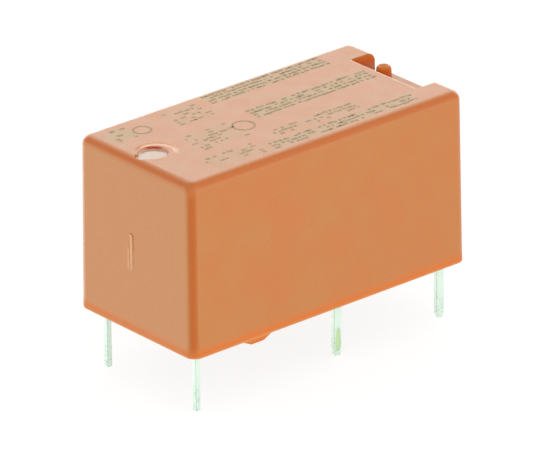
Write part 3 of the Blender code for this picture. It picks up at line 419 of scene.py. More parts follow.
def orangePlastic():
    material, shader = newMaterial("orangePlastic")
    place = objectPlace(shader)
    x, _, height = axesOf(place)
    patches = noiseAt(place, 2.6 * mm, 2.0, 0.6)
    onEnd = rangeOf(x, 0.5 * mm - halfLength, 0.25 * mm - halfLength)
    film = times(rangeOf(height, topHeight - 0.06 * mm, topHeight - 0.02 * mm),
                 rangeOf(noiseAt(place, 1.3 * mm, 3.0, 0.6), 0.36, 0.66))
    onShelf = shelfMask(place)
    onEdge, upright = edgeMask(place)
    rim = standoffHeight
    # painted light: the band above the rim glows brighter orange, a little less on the end, and the very lip
    # is painted pale where the floor shines on it
    paintedRimLight = times(rangeOf(height, rim + 0.70 * mm, rim + 0.30 * mm), rangeOf(onEnd, 0, 1, 1.0, 0.8))
    lip = times(rangeOf(height, rim + 0.16 * mm, rim + 0.02 * mm),
                rangeOf(height, rim - 0.04 * mm, rim - 0.01 * mm))
    tone = layered(
        rampOf(patches, [(0.34, orange["cool"]), (0.5, orange["colour"]), (0.66, orange["warm"])]),
        # painted shading on the end face
        (onEnd, orange["end"]),
        (film, orange["haze"]),
        (printTintMask(place), orange["printTint"]),
        # painted light and shade on the notch's shelf
        (onShelf, orange["shelf"]),
        # painted light and shade on the rounded edges, deepest orange on the upright ones
        (onEdge, mixColours(upright, orange["edge"], orange["uprightEdge"])),
        # painted highlights on the end mark
        (markHighlightMask(place), orange["markHighlight"]),
        # painted highlights on the notch's inner edge and the dish's lip
        (edgeHighlightMask(place), orange["edgeHighlight"]),
        (paintedRimLight, orange["paintedRimGlow"]),
        (lip, orange["rimLip"]),
    )
    rough = rangeOf(noiseAt(place, 0.9 * mm, 2.0), 0.35, 0.65, *orange["roughness"])
    rough = plus(plus(rough, times(paintedRimLight, orange["rimRough"])), times(onShelf, orange["shelfRough"]))
    setInputs(shader, {
        "Base Color": tone,
        "Roughness": rough,
        "Normal": bumpOf(noiseAt(place, orange["grain"], 2.0), orange["grainDepth"], 0.6),
        "IOR": orange["ior"],
    })
    return material


def hollowPlastic():
    # walls of the notch, its pip and the dish, painted with the glow of light inside the plastic and with
    # darker shade deeper down
    material, shader = newMaterial("hollowPlastic")
    place = objectPlace(shader)
    x, y, height = axesOf(place)
    # the painted glow and shade follow the depth below the top
    fall = rangeOf(height, topHeight - 0.75 * mm, topHeight - 0.15 * mm)
    wash = rangeOf(noiseAt(place, 0.5 * mm, 2.0), 0.3, 0.7)
    # painted light and shade: the dish's wall is pale but for a red shaded patch on the far side
    along, across = [times(minus(part, centre), aim)
                     for part, centre, aim in zip((x, y), dishSet["pitCentre"], hollow["wallShadeAim"])]
    patch = rangeOf(plus(along, across), dishSet["pitRadius"] * 0.74, dishSet["pitRadius"] * 0.92)
    tone = layered(
        rampOf(fall, hollow["fall"]),
        (times(wash, 0.35), hollow["wash"]),
        (maths("LESS_THAN", x, 0.0), mixColours(patch, hollow["dishWall"], hollow["dishWallShade"])),
    )
    setInputs(shader, {
        "Base Color": tone,
        "Roughness": rangeOf(wash, 0, 1, 0.4, 0.5),
        "Normal": bumpOf(noiseAt(place, 0.06 * mm), 0.002 * mm, 0.5),
        "Specular IOR Level": 0.12,
    })
    return material


def polishedSheenPlastic():
    # the floor of the dish, polished smooth by the mould, with a pale tone painted for its reflection
    material, shader = newMaterial("polishedSheenPlastic")
    flow = noiseAt(objectPlace(shader), 0.35 * mm, 3.0, 0.6)
    setInputs(shader, {
        "Base Color": mixColours(flow, *hollow["dishFloorSheen"]),
        "Roughness": rangeOf(flow, 0.3, 0.7, 0.12, 0.26),
        "Normal": bumpOf(flow, 0.006 * mm, 0.5),
        "IOR": 1.7,
    })
    return material


def printInk(name, pale, pale2, speckTone, plastic):
    # burnt marks, speckled dark and with the plastic showing through
    material, shader = newMaterial(name)
    place = objectPlace(shader)
    speck = noiseAt(place, 0.13 * mm, 2.0, 0.7)
    setInputs(shader, {
        "Base Color": layered(mixColours(noiseAt(place, 0.6 * mm, 2.0), pale, pale2),
                              (rangeOf(speck, 0.52, 0.62), speckTone), (rangeOf(speck, 0.48, 0.40), plastic)),
        "Roughness": 0.42,
        "Specular IOR Level": 0.36,
        "Normal": bumpOf(speck, 0.004 * mm, 0.8),
    })
    return material


def tinnedMetal():
    # pale drawn wire above, rough dipped tin with grey specks towards the tips
    material, shader = newMaterial("tinnedMetal")
    place = objectPlace(shader)
    dipped = rangeOf(axesOf(place)[2], -1.0 * mm, -2.6 * mm)
    grain = noiseAt(place, 0.10 * mm, 3.0, 0.65)
    draw = noiseAt(objectPlace(shader, (1, 1, 0.12)), 0.06 * mm, 2.0)
    plain, dark, pale = tin["dipped"]
    specks = layered(plain, (rangeOf(grain, 0.54, 0.64), dark), (rangeOf(grain, 0.44, 0.36), pale))
    pressed = addNode(shader.id_data, "Attribute", {".attribute_name": "pressed"}).outputs["Fac"]
    setInputs(shader, {
        "Base Color": layered(mixColours(draw, *tin["drawn"]),
                              (times(dipped, 0.9), specks), (times(pressed, 0.8), tin["pressed"])),
        "Roughness": rangeOf(dipped, 0, 1, 0.34, 0.5),
        "Metallic": tin["metallic"],
        "Normal": bumpOf(grain, 0.01 * mm, 0.5),
    })
    return material


def mottled(name, dark, light, size, roughness, metallic=0.0, depth=0.0, stretch=(1, 1, 1)):
    # two tones, a rough-smooth change and a fine bump, all from noise in the piece's own place
    material, shader = newMaterial(name)
    place = objectPlace(shader, stretch)
    patches = noiseAt(place, size * mm, 4.0, 0.6)
    setInputs(shader, {
        "Base Color": mixColours(rangeOf(patches, 0.3, 0.7), dark, light),
        "Roughness": rangeOf(patches, 0.3, 0.7, *roughness),
        "Metallic": metallic,
    })
    if depth:
        setInputs(shader, {"Normal": bumpOf(noiseAt(place, size * mm * 0.35), depth * mm, 0.6)})
    return material


# mesh helpers

def linkMesh(name, data, material=None):
    mesh = bpy.data.meshes.new(name)
    data.to_mesh(mesh)
    data.free()
    if material:
        mesh.materials.append(material)
    return linkObject(name, mesh)


def stackRings(name, rings, material=None):
    # closed body from rings of equal length, capped at both ends
    data = bmesh.new()
    rows = [[data.verts.new(point) for point in ring] for ring in rings]
    count = len(rings[0])
    for low, high in zip(rows, rows[1:]):
        for i in range(count):
            j = (i + 1) % count
            data.faces.new((low[i], low[j], high[j], high[i]))
    data.faces.new(list(reversed(rows[0])))
    data.faces.new(rows[-1])
    bmesh.ops.recalc_face_normals(data, faces=data.faces)
    return linkMesh(name, data, material)


def makeBlock(name, low, high):
    corners = [(low[0], low[1]), (high[0], low[1]), (high[0], high[1]), (low[0], high[1])]
    return stackRings(name, [[(x, y, z) for x, y in corners] for z in (low[2], high[2])])


def gridSheet(data, low, high, counts, heightAt):
    # a rectangle of points and faces between two corners, each point at its own height
    rows = []
    for j in range(counts[1] + 1):
        y = low[1] + (high[1] - low[1]) * j / counts[1]
        row = []
        for i in range(counts[0] + 1):
            x = low[0] + (high[0] - low[0]) * i / counts[0]
            row.append(data.verts.new((x, y, heightAt(x, y))))
        rows.append(row)
    for near, far in zip(rows, rows[1:]):
        for i in range(counts[0]):
            data.faces.new((near[i], near[i + 1], far[i + 1], far[i]))
    return rows


def arcPoints(cx, cy, radius, start, end, steps):
    angles = [start + (end - start) * i / steps for i in range(steps + 1)]
    return [(cx + radius * math.cos(a), cy + radius * math.sin(a)) for a in angles]


def roundedOutline(halfX, halfY, radius, steps):
    quarter = math.pi / 2
    points = []
    signs = ((1, 1), (-1, 1), (-1, -1), (1, -1))
    for turn, (sx, sy) in enumerate(signs):
        points += arcPoints(sx * (halfX - radius), sy * (halfY - radius), radius,
                            turn * quarter, (turn + 1) * quarter, steps)
    return points


def roundedBox(low, high, spread, radius):
    # rounded rectangle between two corners, grown by a spread
    middle = [(low[i] + high[i]) / 2 for i in (0, 1)]
    half = [(high[i] - low[i]) / 2 + spread for i in (0, 1)]
    return [(middle[0] + x, middle[1] + y) for x, y in roundedOutline(half[0], half[1], radius + spread, 5)]


def dropObject(item):
    mesh = item.data
    bpy.data.objects.remove(item)
    bpy.data.meshes.remove(mesh)


def bakeModifiers(item):
    depsgraph = bpy.context.evaluated_depsgraph_get()
    mesh = bpy.data.meshes.new_from_object(item.evaluated_get(depsgraph))
    old = item.data
    item.modifiers.clear()
    item.data = mesh
    mesh.name = item.name
    bpy.data.meshes.remove(old)


def combine(item, others, operation):
    for number, other in enumerate(others):
        modifier = item.modifiers.new(f"{operation.lower()}{number}", "BOOLEAN")
        modifier.operation = operation
        modifier.solver = "EXACT"
        modifier.object = other
    bakeModifiers(item)
    for other in others:
        dropObject(other)
    return item


def smoothBelow(item, degrees):
    # smooth shading, but for edges sharper than this
    item.data.shade_smooth()
    item.data.set_sharp_from_angle(angle=math.radians(degrees))


def evenNormals(item):
    # bakes the modifiers with shading that keeps the flats flat
    even = item.modifiers.new("even", "WEIGHTED_NORMAL")
    even.keep_sharp = True
    even.weight = 60
    bakeModifiers(item)


def softenEdges(item, width):
    bevel = item.modifiers.new("bevel", "BEVEL")
    bevel.width = width
    bevel.segments = 2
    bevel.limit_method = "ANGLE"
    bevel.angle_limit = math.radians(50)
    bevel.miter_outer = "MITER_ARC"
    item.data.shade_smooth()
    evenNormals(item)
    return item


def copyOfNode(node, name, material, cutHeight=None):
    # the solid's own mesh with its triangles merged back into flat faces, or what is above a height
    data = bmesh.new()
    data.from_mesh(frame["nodes"][node].data)
    bmesh.ops.remove_doubles(data, verts=data.verts, dist=0.0005 * mm)
    if cutHeight is not None:
        cut = bmesh.ops.bisect_plane(data, geom=list(data.verts) + list(data.edges) + list(data.faces),
                                     plane_co=(0, 0, cutHeight), plane_no=(0, 0, 1), clear_inner=True)
        edges = [g for g in cut["geom_cut"] if isinstance(g, bmesh.types.BMEdge)]
        bmesh.ops.holes_fill(data, edges=edges, sides=0)
    bmesh.ops.dissolve_limit(data, angle_limit=math.radians(0.5), verts=data.verts, edges=data.edges)
    return linkMesh(name, data, material)


def joinMeshes(name, items):
    data = bmesh.new()
    materials = []
    for item in items:
        first = len(data.faces)
        data.from_mesh(item.data)
        own = item.data.materials[0]
        if own not in materials:
            materials.append(own)
        data.faces.ensure_lookup_table()
        for face in data.faces[first:]:
            face.material_index = materials.index(own)
    for item in items:
        dropObject(item)
    bmesh.ops.recalc_face_normals(data, faces=data.faces)
    made = linkMesh(name, data)
    for material in materials:
        made.data.materials.append(material)
    return made


# cover

coverSet = {
    "standoffHeight": 0.3 * mm,
    "wall": 0.6 * mm,
    "topWall": 0.7 * mm,
    "draft": math.radians(0.57),
    "cornerRadius": 0.62 * mm,
    "topFillet": 0.56 * mm,
    "rimRound": 0.04 * mm,
    "steps": 12,
    "insideCorner": 0.25 * mm,
    "insideFillet": (0.25 * mm, 0.2 * mm),  # how far down and in the ceiling's bevel goes
}
notchSet = {
    "length": 1.85 * mm,
    "nearSide": 2.12 * mm,
    "farSide": 2.24 * mm,
    "shelfWidth": 4.10 * mm,
    "shelfDepth": 0.87 * mm,
    "pocketDepth": 1.35 * mm,
    "floorWall": 0.45 * mm,
    "edgeRound": 0.09 * mm,
    "cornerRound": 0.10 * mm,
    "pipFromEnd": 1.03 * mm,
    "pipInsideShelf": 0.43 * mm,
    "pipTop": 0.43 * mm,
    "pipRoot": 0.47 * mm,
    "pipRound": 0.22 * mm,
}
dishSet = {
    # a shallow bowl, a pit in it off the middle with a painted reflection on its floor, and a break through
    # the fillet of the end
    "bowlCentre": (-8.18 * mm, 0.15 * mm),
    "bowlRadius": 1.10 * mm,
    "bowlDepth": 0.06 * mm,
    "bowlLip": 0.14 * mm,
    "pitCentre": (-8.34 * mm, 0.22 * mm),
    "pitRadius": 0.84 * mm,
    "pitDepth": 0.21 * mm,
    "pitLip": 0.05 * mm,
    "breakCentre": (-9.06 * mm, 0.14 * mm),
    "breakRadius": 0.50 * mm,
    "breakDepth": 0.21 * mm,
    "breakLip": 0.10 * mm,
    "wall": 0.09 * mm,  # how far in the wall runs before the floor is level
    "reach": 0.35 * mm,  # how far the cutter goes past the bowl
    "cell": 0.03 * mm,
}
markSet = {
    "width": 0.46 * mm,
    "height": 2.35 * mm,
    "proud": 0.035 * mm,
    "middle": 5.03 * mm,
    "sideways": 0.35 * mm,
    "wall": 0.14 * mm,
    # the lit lines along it: sideways, bottom and top from its middle
    "lines": ((0.21 * mm, -1.05 * mm, 0.24 * mm), (-0.02 * mm, -1.05 * mm, 1.08 * mm)),
}
inkHeight = 0.006 * mm  # the marks stand this far above the plastic
standoffSet = {
    "fromEnd": 4.62 * mm,
    "topWidth": 2.05 * mm,
    "footWidth": 0.95 * mm,
    "relief": 0.02 * mm,
    "edge": 0.04 * mm,
    "corner": 0.05 * mm,
}
standoffHeight = coverSet["standoffHeight"]
over = 0.5 * mm  # how far a cutter runs past what it cuts
overlap = 0.1 * mm  # how far joined shapes overlap
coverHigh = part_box("cover")[1]
halfLength = coverHigh[0]
halfWidth = coverHigh[1]
topHeight = coverHigh[2] - inkHeight
notchSides = (notchSet["nearSide"] - halfWidth, halfWidth - notchSet["farSide"])
shelfEnd = notchSides[0] + notchSet["shelfWidth"]
pipCentre = (halfLength - notchSet["pipFromEnd"], shelfEnd - notchSet["pipInsideShelf"])


def draftAt(height):
    return (height - standoffHeight) * math.tan(coverSet["draft"])


def coverRing(inset, radius, height, steps=coverSet["steps"]):
    return [(x, y, height) for x, y in roundedOutline(halfLength - inset, halfWidth - inset, radius, steps)]


def coverBody(material):
    corner = coverSet["cornerRadius"]
    fillet = coverSet["topFillet"]
    rings = []
    for share in (0.0, 0.5, 1.0):
        bend = coverSet["rimRound"] * (1 - math.sin(math.pi / 2 * share))
        lift = coverSet["rimRound"] * (1 - math.cos(math.pi / 2 * share))
        rings.append(coverRing(bend, corner - bend, standoffHeight + lift))
    shoulder = topHeight - fillet
    rings.append(coverRing(draftAt(shoulder), corner, shoulder))
    for step in range(1, coverSet["steps"] + 1):
        angle = math.pi / 2 * step / coverSet["steps"]
        rolled = fillet * (1 - math.cos(angle))
        height = shoulder + fillet * math.sin(angle)
        rings.append(coverRing(draftAt(shoulder) + rolled, corner - rolled, height))
    return stackRings("coverShell", rings, material)


def notchBlock(name, shelf, grow=0, drop=0):
    sideLow, sideHigh = (notchSides[0], shelfEnd + overlap) if shelf else (shelfEnd, notchSides[1])
    depth = notchSet["shelfDepth"] if shelf else notchSet["pocketDepth"]
    low = (halfLength - notchSet["length"] - grow, sideLow - grow, topHeight - depth - drop)
    high = (halfLength + over, sideHigh + grow, topHeight + over)
    if grow:
        return makeBlock(name, low, high)
    bend = notchSet["edgeRound"]
    levels = [(low[2], 0), (topHeight - bend, 0)]
    for spread, rise in arcPoints(bend, 0, bend, math.pi, math.pi / 2, 6)[1:]:
        levels.append((topHeight - bend + rise, spread))
    levels.append((high[2], bend + over))
    rings = []
    for height, spread in levels:
        rings.append([(x, y, height) for x, y in roundedBox(low, high, spread, notchSet["cornerRound"])])
    return stackRings(name, rings)


def coverCavity():
    rings = []
    ceiling = topHeight - coverSet["topWall"]
    down, inward = coverSet["insideFillet"]
    for height, rolled in ((standoffHeight - over, 0), (ceiling - down, 0), (ceiling, inward)):
        inset = coverSet["wall"] + draftAt(height) + rolled
        rings.append(coverRing(inset, coverSet["insideCorner"], height, 4))
    walls = [notchBlock(name, shelf, coverSet["wall"], notchSet["floorWall"])
             for name, shelf in (("shelfWalls", True), ("pocketWalls", False))]
    return combine(stackRings("coverCavity", rings), walls, "DIFFERENCE")


def ventPip():
    top = notchSet["pipTop"]
    bend = notchSet["pipRound"]
    profile = [(notchSet["pipRoot"], topHeight - notchSet["shelfDepth"] - overlap), (top, topHeight - bend)]
    profile += arcPoints(top - bend, topHeight - bend, bend, 0, math.pi / 2, 6)[1:]
    rings = []
    for radius, height in profile:
        circle = arcPoints(*pipCentre, radius, 0, 2 * math.pi, 40)[:-1]
        rings.append([(x, y, height) for x, y in circle])
    return stackRings("ventPip", rings)


def hollowDepth(away, radius, depth, lip):
    # depth of a round hollow with a rounded lip; negative outside it
    if away > radius + lip:
        return (radius + lip - away) * 0.9
    if away > radius:
        return min(lip - math.sqrt(max(lip * lip - (radius + lip - away) ** 2, 0)), depth)
    share = min((radius - away) / dishSet["wall"], 1)
    top = min(lip, depth)
    return top + (depth - top) * share * (2 - share)


def awayFrom(name, x, y):
    cx, cy = dishSet[name + "Centre"]
    return math.hypot(x - cx, y - cy)


def dishDepth(x, y):
    depths = []
    for name in ("bowl", "pit", "break"):
        sizes = [dishSet[name + part] for part in ("Radius", "Depth", "Lip")]
        depths.append(hollowDepth(awayFrom(name, x, y), *sizes))
    deepest = max(depths)
    rough = 0.010 * mm * noise.noise(Vector((x, y, 0)) / (0.35 * mm))
    return deepest + (rough if deepest > 0.12 * mm else 0)


def dishCutter():
    # a closed body over the dish; its underside is the dish's own surface
    reach = dishSet["bowlRadius"] + dishSet["reach"]
    corners = [[middle + side * reach for middle in dishSet["bowlCentre"]] for side in (-1, 1)]
    count = int(2 * reach / dishSet["cell"])
    data = bmesh.new()
    low = gridSheet(data, *corners, (count, count), lambda x, y: topHeight - dishDepth(x, y))
    high = gridSheet(data, *corners, (count, count), lambda x, y: topHeight + 0.9 * mm)
    for i in range(count):
        for j in (0, count):
            data.faces.new((low[j][i], low[j][i + 1], high[j][i + 1], high[j][i]))
            data.faces.new((low[i][j], low[i + 1][j], high[i + 1][j], high[i][j]))
    bmesh.ops.recalc_face_normals(data, faces=data.faces)
    return linkMesh("dishCutter", data)


def paintHollows(cover, wallMaterial, floorMaterial):
    # the floor of the pit and the break takes a painted reflection; walls below the top face and the pip's
    # end take painted glow and shade
    cover.data.materials.append(wallMaterial)
    cover.data.materials.append(floorMaterial)
    near = 0.02 * mm
    for face in cover.data.polygons:
        x, y, z = face.center
        pip = math.hypot(x - pipCentre[0], y - pipCentre[1])
        if pip < notchSet["pipTop"] and z > topHeight - 0.01 * mm:
            face.material_index = 1
        if z > topHeight - 0.03 * mm or z < topHeight - notchSet["pocketDepth"]:
            continue
        pit = awayFrom("pit", x, y)
        onFloor = pit < dishSet["pitRadius"] * 0.97 or awayFrom("break", x, y) < dishSet["breakRadius"]
        pastStart = x > halfLength - notchSet["length"] - near
        inNotch = pastStart and notchSides[0] - near < y < notchSides[1] + near
        if onFloor and face.normal.z > 0.6 and topHeight - 0.4 * mm < z < topHeight - 0.12 * mm:
            face.material_index = 2
        elif pit < dishSet["pitRadius"] + dishSet["pitLip"] and 0 < face.normal.z < 0.8:
            face.material_index = 1
        elif inNotch and abs(face.normal.z) < 0.8 and face.normal.x < 0.9:
            face.material_index = 1


def markOutline(shrink):
    radius = markSet["width"] / 2 - shrink
    straight = markSet["height"] / 2 - markSet["width"] / 2
    middle = markSet["middle"]
    return (arcPoints(markSet["sideways"], middle + straight, radius, 0, math.pi, 12)
            + arcPoints(markSet["sideways"], middle - straight, radius, math.pi, 2 * math.pi, 12))


def endMark():
    # upright bar with round ends, soft edges and a channel down its middle, standing out of the coil end
    face = draftAt(markSet["middle"]) - halfLength
    proud = markSet["proud"]
    wall = markSet["wall"]
    steps = [(overlap, 0), (-0.1 * proud, 0), (-0.75 * proud, 0.03 * mm), (-proud, 0.07 * mm),
             (-0.95 * proud, wall - 0.06 * mm), (-0.55 * proud, wall - 0.02 * mm), (-0.45 * proud, wall)]
    rings = [[(face + x, y, z) for y, z in markOutline(shrink)] for x, shrink in steps]
    return stackRings("endMark", rings)


def standoffBlock(name, middle, alongX, edge):
    halfTop = standoffSet["topWidth"] / 2
    halfFoot = standoffSet["footWidth"] / 2
    inner, outer = [edge - math.copysign(depth, edge) for depth in (coverSet["wall"], standoffSet["relief"])]
    bend = standoffSet["edge"]
    levels = [(0.0, halfFoot - bend, bend), (bend, halfFoot + bend * 0.4, 0), (standoffHeight, halfTop, 0),
              (standoffHeight + overlap, halfTop, 0)]
    rings = []
    for height, half, inset in levels:
        near = min(inner, outer) + inset
        far = max(inner, outer) - inset
        ring = roundedBox((middle - half, near), (middle + half, far), 0, standoffSet["corner"])
        rings.append([(a, b, height) if alongX else (b, a, height) for a, b in ring])
    return stackRings(name, rings)


def buildCover(material, wallMaterial, floorMaterial):
    cover = coverBody(material)
    combine(cover, [coverCavity(), notchBlock("notchShelf", True)], "DIFFERENCE")
    combine(cover, [ventPip()], "UNION")
    combine(cover, [notchBlock("notchPocket", False)], "DIFFERENCE")
    foot = standoffSet["fromEnd"] - halfLength
    feet = [
        standoffBlock("standoffRight", foot, True, -halfWidth),
        standoffBlock("standoffLeft", foot, True, halfWidth),
        standoffBlock("standoffEnd", 0.0, False, halfLength),
    ]
    combine(cover, feet + [endMark()], "UNION")
    combine(cover, [dishCutter()], "DIFFERENCE")
    smoothBelow(cover, 38)
    evenNormals(cover)
    paintHollows(cover, wallMaterial, floorMaterial)
    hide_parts("cover")
    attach(cover, "housing")
    print("cover built:", len(cover.data.polygons), "faces")


# marks on the top face, in millimetres

printKeys = ("corner", "Columns", "Lines", "Filled", "Seed", "strong")
printFields = [dict(zip(printKeys, row)) for row in (
    # lower left corner, columns, lines, share of places filled, seed, whether the strong ink is used
    ((-1.50, 3.16), 24, 4, 0.88, 3, True),
    ((-0.85, 0.02), 24, 4, 0.84, 8, True),
    ((-1.75, -2.62), 17, 3, 0.62, 12, False),
    ((-2.95, -3.92), 29, 3, 0.70, 21, True),
    ((-7.05, -3.85), 10, 5, 0.46, 33, False),
    ((-9.05, 2.45), 5, 5, 0.40, 40, True),
    ((-4.75, 2.05), 7, 6, 0.46, 44, False),
    ((-5.95, -1.45), 9, 7, 0.48, 52, False),
)]
printGrid = {
    "Pitch": 0.36,
    "Line Pitch": 0.33,
    "Shortest": 0.12,
    "Longest": 0.40,
    "Stroke": 0.16,
    "Stray": 0.08,
}
printRings = [
    # centre, radius and stroke of plain rings
    ((-2.35, -0.35), 0.62, 0.13),
    ((-6.90, 2.90), 0.50, 0.13),
]
inkTones = {
    # two pale tones, the specks and the plastic that shows through
    "strongMark": ((0.30, 0.22, 0.06), (0.25, 0.20, 0.06), (0.12, 0.095, 0.03), (0.45, 0.27, 0.07)),
    "faintMark": ((0.38, 0.25, 0.08), (0.33, 0.23, 0.08), (0.20, 0.14, 0.04), (0.50, 0.27, 0.07)),
}


def newGeometryTree(name, **kinds):
    # the inputs are named by kind; every tree has a material too
    tree = bpy.data.node_groups.new(name, "GeometryNodeTree")
    for kind, labels in {**kinds, "Material": ["Material"]}.items():
        for label in labels:
            tree.interface.new_socket(name=label, in_out="INPUT", socket_type="NodeSocket" + kind)
    tree.interface.new_socket(name="Geometry", in_out="OUTPUT", socket_type="NodeSocketGeometry")
    return tree, tree.nodes.new("NodeGroupInput").outputs


def finishTree(tree, source, material):
    real = addNode(tree, "GeometryNodeRealizeInstances", {0: source})
    flat = addNode(tree, "GeometryNodeSetShadeSmooth", {"Geometry": real, "Shade Smooth": False})
    dressed = addNode(tree, "GeometryNodeSetMaterial", {"Geometry": flat, "Material": material})
    addNode(tree, "NodeGroupOutput", {0: dressed})


def runTree(tree, name, values):
    # an object whose mesh is what the tree makes from these values
    item = linkObject(name, bpy.data.meshes.new(name))
    modifier = item.modifiers.new("nodes", "NODES")
    modifier.node_group = tree
    sockets = {s.name: s.identifier for s in tree.interface.items_tree if s.in_out == "INPUT"}
    for label, value in values.items():
        modifier[sockets[label]] = value
    bakeModifiers(item)
    item.data.materials.clear()
    item.data.materials.append(values["Material"])
    for face in item.data.polygons:
        face.material_index = 0
    return item


def randomOf(tree, kind, output, seed, values):
    made = addNode(tree, "FunctionNodeRandomValue", {".data_type": kind, "Seed": seed, **values})
    return made.outputs[output]


def markFieldTree():
    # rows of low dashes, each of its own length, some places left empty
    tree, values = newGeometryTree("markField", Vector=["Corner"], Int=["Columns", "Lines", "Seed"],
                                   Float=[*printGrid, "Thickness", "Filled"])
    seed = values["Seed"]
    stroke = values["Stroke"]
    spanX, spanY = [times(minus(values[count], 1), values[pitch])
                    for count, pitch in (("Columns", "Pitch"), ("Lines", "Line Pitch"))]
    grid = addNode(tree, "GeometryNodeMeshGrid", {
        "Size X": spanX, "Size Y": spanY, "Vertices X": values["Columns"], "Vertices Y": values["Lines"]})
    half = addNode(tree, "CombineXYZ", {"X": times(spanX, 0.5), "Y": times(spanY, 0.5)})
    shift = addNode(tree, "VectorMath", {".operation": "ADD", 0: values["Corner"], 1: half})
    moved = addNode(tree, "GeometryNodeTransform", {"Geometry": grid, "Translation": shift})
    length = randomOf(tree, "FLOAT", 1, seed, {2: values["Shortest"], 3: values["Longest"]})
    kept = randomOf(tree, "BOOLEAN", 3, plus(seed, 200), {"Probability": values["Filled"]})
    width = randomOf(tree, "FLOAT", 1, plus(seed, 400), {2: times(stroke, 0.6), 3: times(stroke, 1.2)})
    off = randomOf(tree, "FLOAT_VECTOR", 0, plus(seed, 600), {0: (-1, -0.5, 0), 1: (1, 0.5, 0)})
    size = addNode(tree, "CombineXYZ", {"X": length, "Y": width, "Z": values["Thickness"]})
    stray = addNode(tree, "VectorMath", {".operation": "SCALE", 0: off, "Scale": values["Stray"]})
    loose = addNode(tree, "GeometryNodeSetPosition", {"Geometry": moved, "Offset": stray})
    pad = addNode(tree, "GeometryNodeMeshCube")
    placed = addNode(tree, "GeometryNodeInstanceOnPoints", {
        "Points": loose, "Selection": kept, "Instance": pad, "Scale": size})
    finishTree(tree, placed, values["Material"])
    return tree


def markRingTree():
    tree, values = newGeometryTree("markRing", Vector=["Centre"], Float=["Radius", "Stroke"])
    circle = addNode(tree, "GeometryNodeCurvePrimitiveCircle", {"Resolution": 48, "Radius": values["Radius"]})
    band = addNode(tree, "GeometryNodeCurvePrimitiveQuadrilateral", {
        "Height": 2 * inkHeight, "Width": values["Stroke"]})
    ring = addNode(tree, "GeometryNodeCurveToMesh", {"Curve": circle, "Profile Curve": band})
    moved = addNode(tree, "GeometryNodeTransform", {"Geometry": ring, "Translation": values["Centre"]})
    finishTree(tree, moved, values["Material"])
    return tree


def onTop(place):
    return (place[0] * mm, place[1] * mm, topHeight)


def buildPrint():
    strong, faint = [printInk(name, *tones) for name, tones in inkTones.items()]
    fieldTree = markFieldTree()
    ringTree = markRingTree()
    parts = []
    for number, field in enumerate(printFields):
        parts.append(runTree(fieldTree, f"markField{number}", {
            "Corner": onTop(field["corner"]),
            **{label: field[label] for label in ("Columns", "Lines", "Filled", "Seed")},
            **{label: size * mm for label, size in printGrid.items()},
            "Thickness": 2 * inkHeight,
            "Material": strong if field["strong"] else faint,
        }))
    for number, (centre, radius, stroke) in enumerate(printRings):
        parts.append(runTree(ringTree, f"markRing{number}", {
            "Centre": onTop(centre), "Radius": radius * mm, "Stroke": stroke * mm, "Material": faint}))
    marks = joinMeshes("topMarks", parts)
    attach(marks, "housing")
    print("top marks built:", len(marks.data.polygons), "faces")


# pins

pinSet = {
    "row": 3.81 * mm,
    "coilX": -8.9 * mm,
    "nearX": 1.26 * mm,
    "farX": 8.88 * mm,
    "coilSide": 0.34 * mm,
    "bladeWidth": 0.55 * mm,
    "bladeThickness": 0.30 * mm,
    "edge": 0.055 * mm,
    "coilBottom": -3.37 * mm,
    "bladeBottom": -3.2 * mm,
    "cutHeight": 0.5 * mm,  # pins and inner halves meet here, inside the resin
    "dipTop": -1.3 * mm,  # the rough dipped tin ends here
    "lumps": 0.010 * mm,
    "tipRows": ((0.0, 0.72), (0.02 * mm, 0.88), (0.05 * mm, 0.96)),  # height over the tip, share of width
    "rows": 90,
    "taper": 0.75 * mm,
    "tipWidth": 0.26 * mm,
    "coinFrom": -2.90 * mm,
    "coinTo": -1.48 * mm,
    "coinHalf": 0.20 * mm,
    "coinDepth": 0.06 * mm,
}
coilPin = {"half": (pinSet["coilSide"] / 2, pinSet["coilSide"] / 2), "bottom": pinSet["coilBottom"], "tip": 0}
widePin = {"half": (pinSet["bladeWidth"] / 2, pinSet["bladeThickness"] / 2), "bottom": pinSet["bladeBottom"],
           "tip": pinSet["tipWidth"] / 2}
pins = {
    "coil_terminal_left": {"centre": (pinSet["coilX"], pinSet["row"]), "coined": False, **coilPin},
    "coil_terminal_right": {"centre": (pinSet["coilX"], -pinSet["row"]), "coined": False, **coilPin},
    "common_terminal": {"centre": (pinSet["nearX"], -pinSet["row"]), "coined": True, **widePin},
    "fixed_terminal": {"centre": (pinSet["farX"], -pinSet["row"]), "coined": False, **widePin},
}


def lumpAt(point, bottom):
    # dipped tin: uneven towards the tip, smooth above
    share = min(max((pinSet["dipTop"] - point.z) / (pinSet["dipTop"] - bottom), 0), 1)
    swell = noise.noise(point / (0.16 * mm)) + 0.6 * noise.noise(point / (0.07 * mm))
    return pinSet["lumps"] * share * (swell - 0.4)


def denseOutline(halfX, halfY, radius):
    # rounded rectangle with points along its flats too
    corners = roundedOutline(halfX, halfY, radius, 4)
    points = []
    for i, point in enumerate(corners):
        points.append(point)
        if i % 5 == 4:
            last = corners[(i + 1) % len(corners)]
            for step in range(1, 10):
                share = step / 10
                points.append(tuple(a + (b - a) * share for a, b in zip(point, last)))
    return points


def coinDepthAt(x, height):
    # long oval hollow, a little wider low down
    low, high = pinSet["coinFrom"], pinSet["coinTo"]
    if not low < height < high:
        return 0.0
    share = (height - low) / (high - low)
    half = pinSet["coinHalf"] * math.sin(math.pi * share ** 0.85) ** 0.5
    if half <= abs(x):
        return 0.0
    return pinSet["coinDepth"] * (1 - (x / half) ** 2) ** 0.6


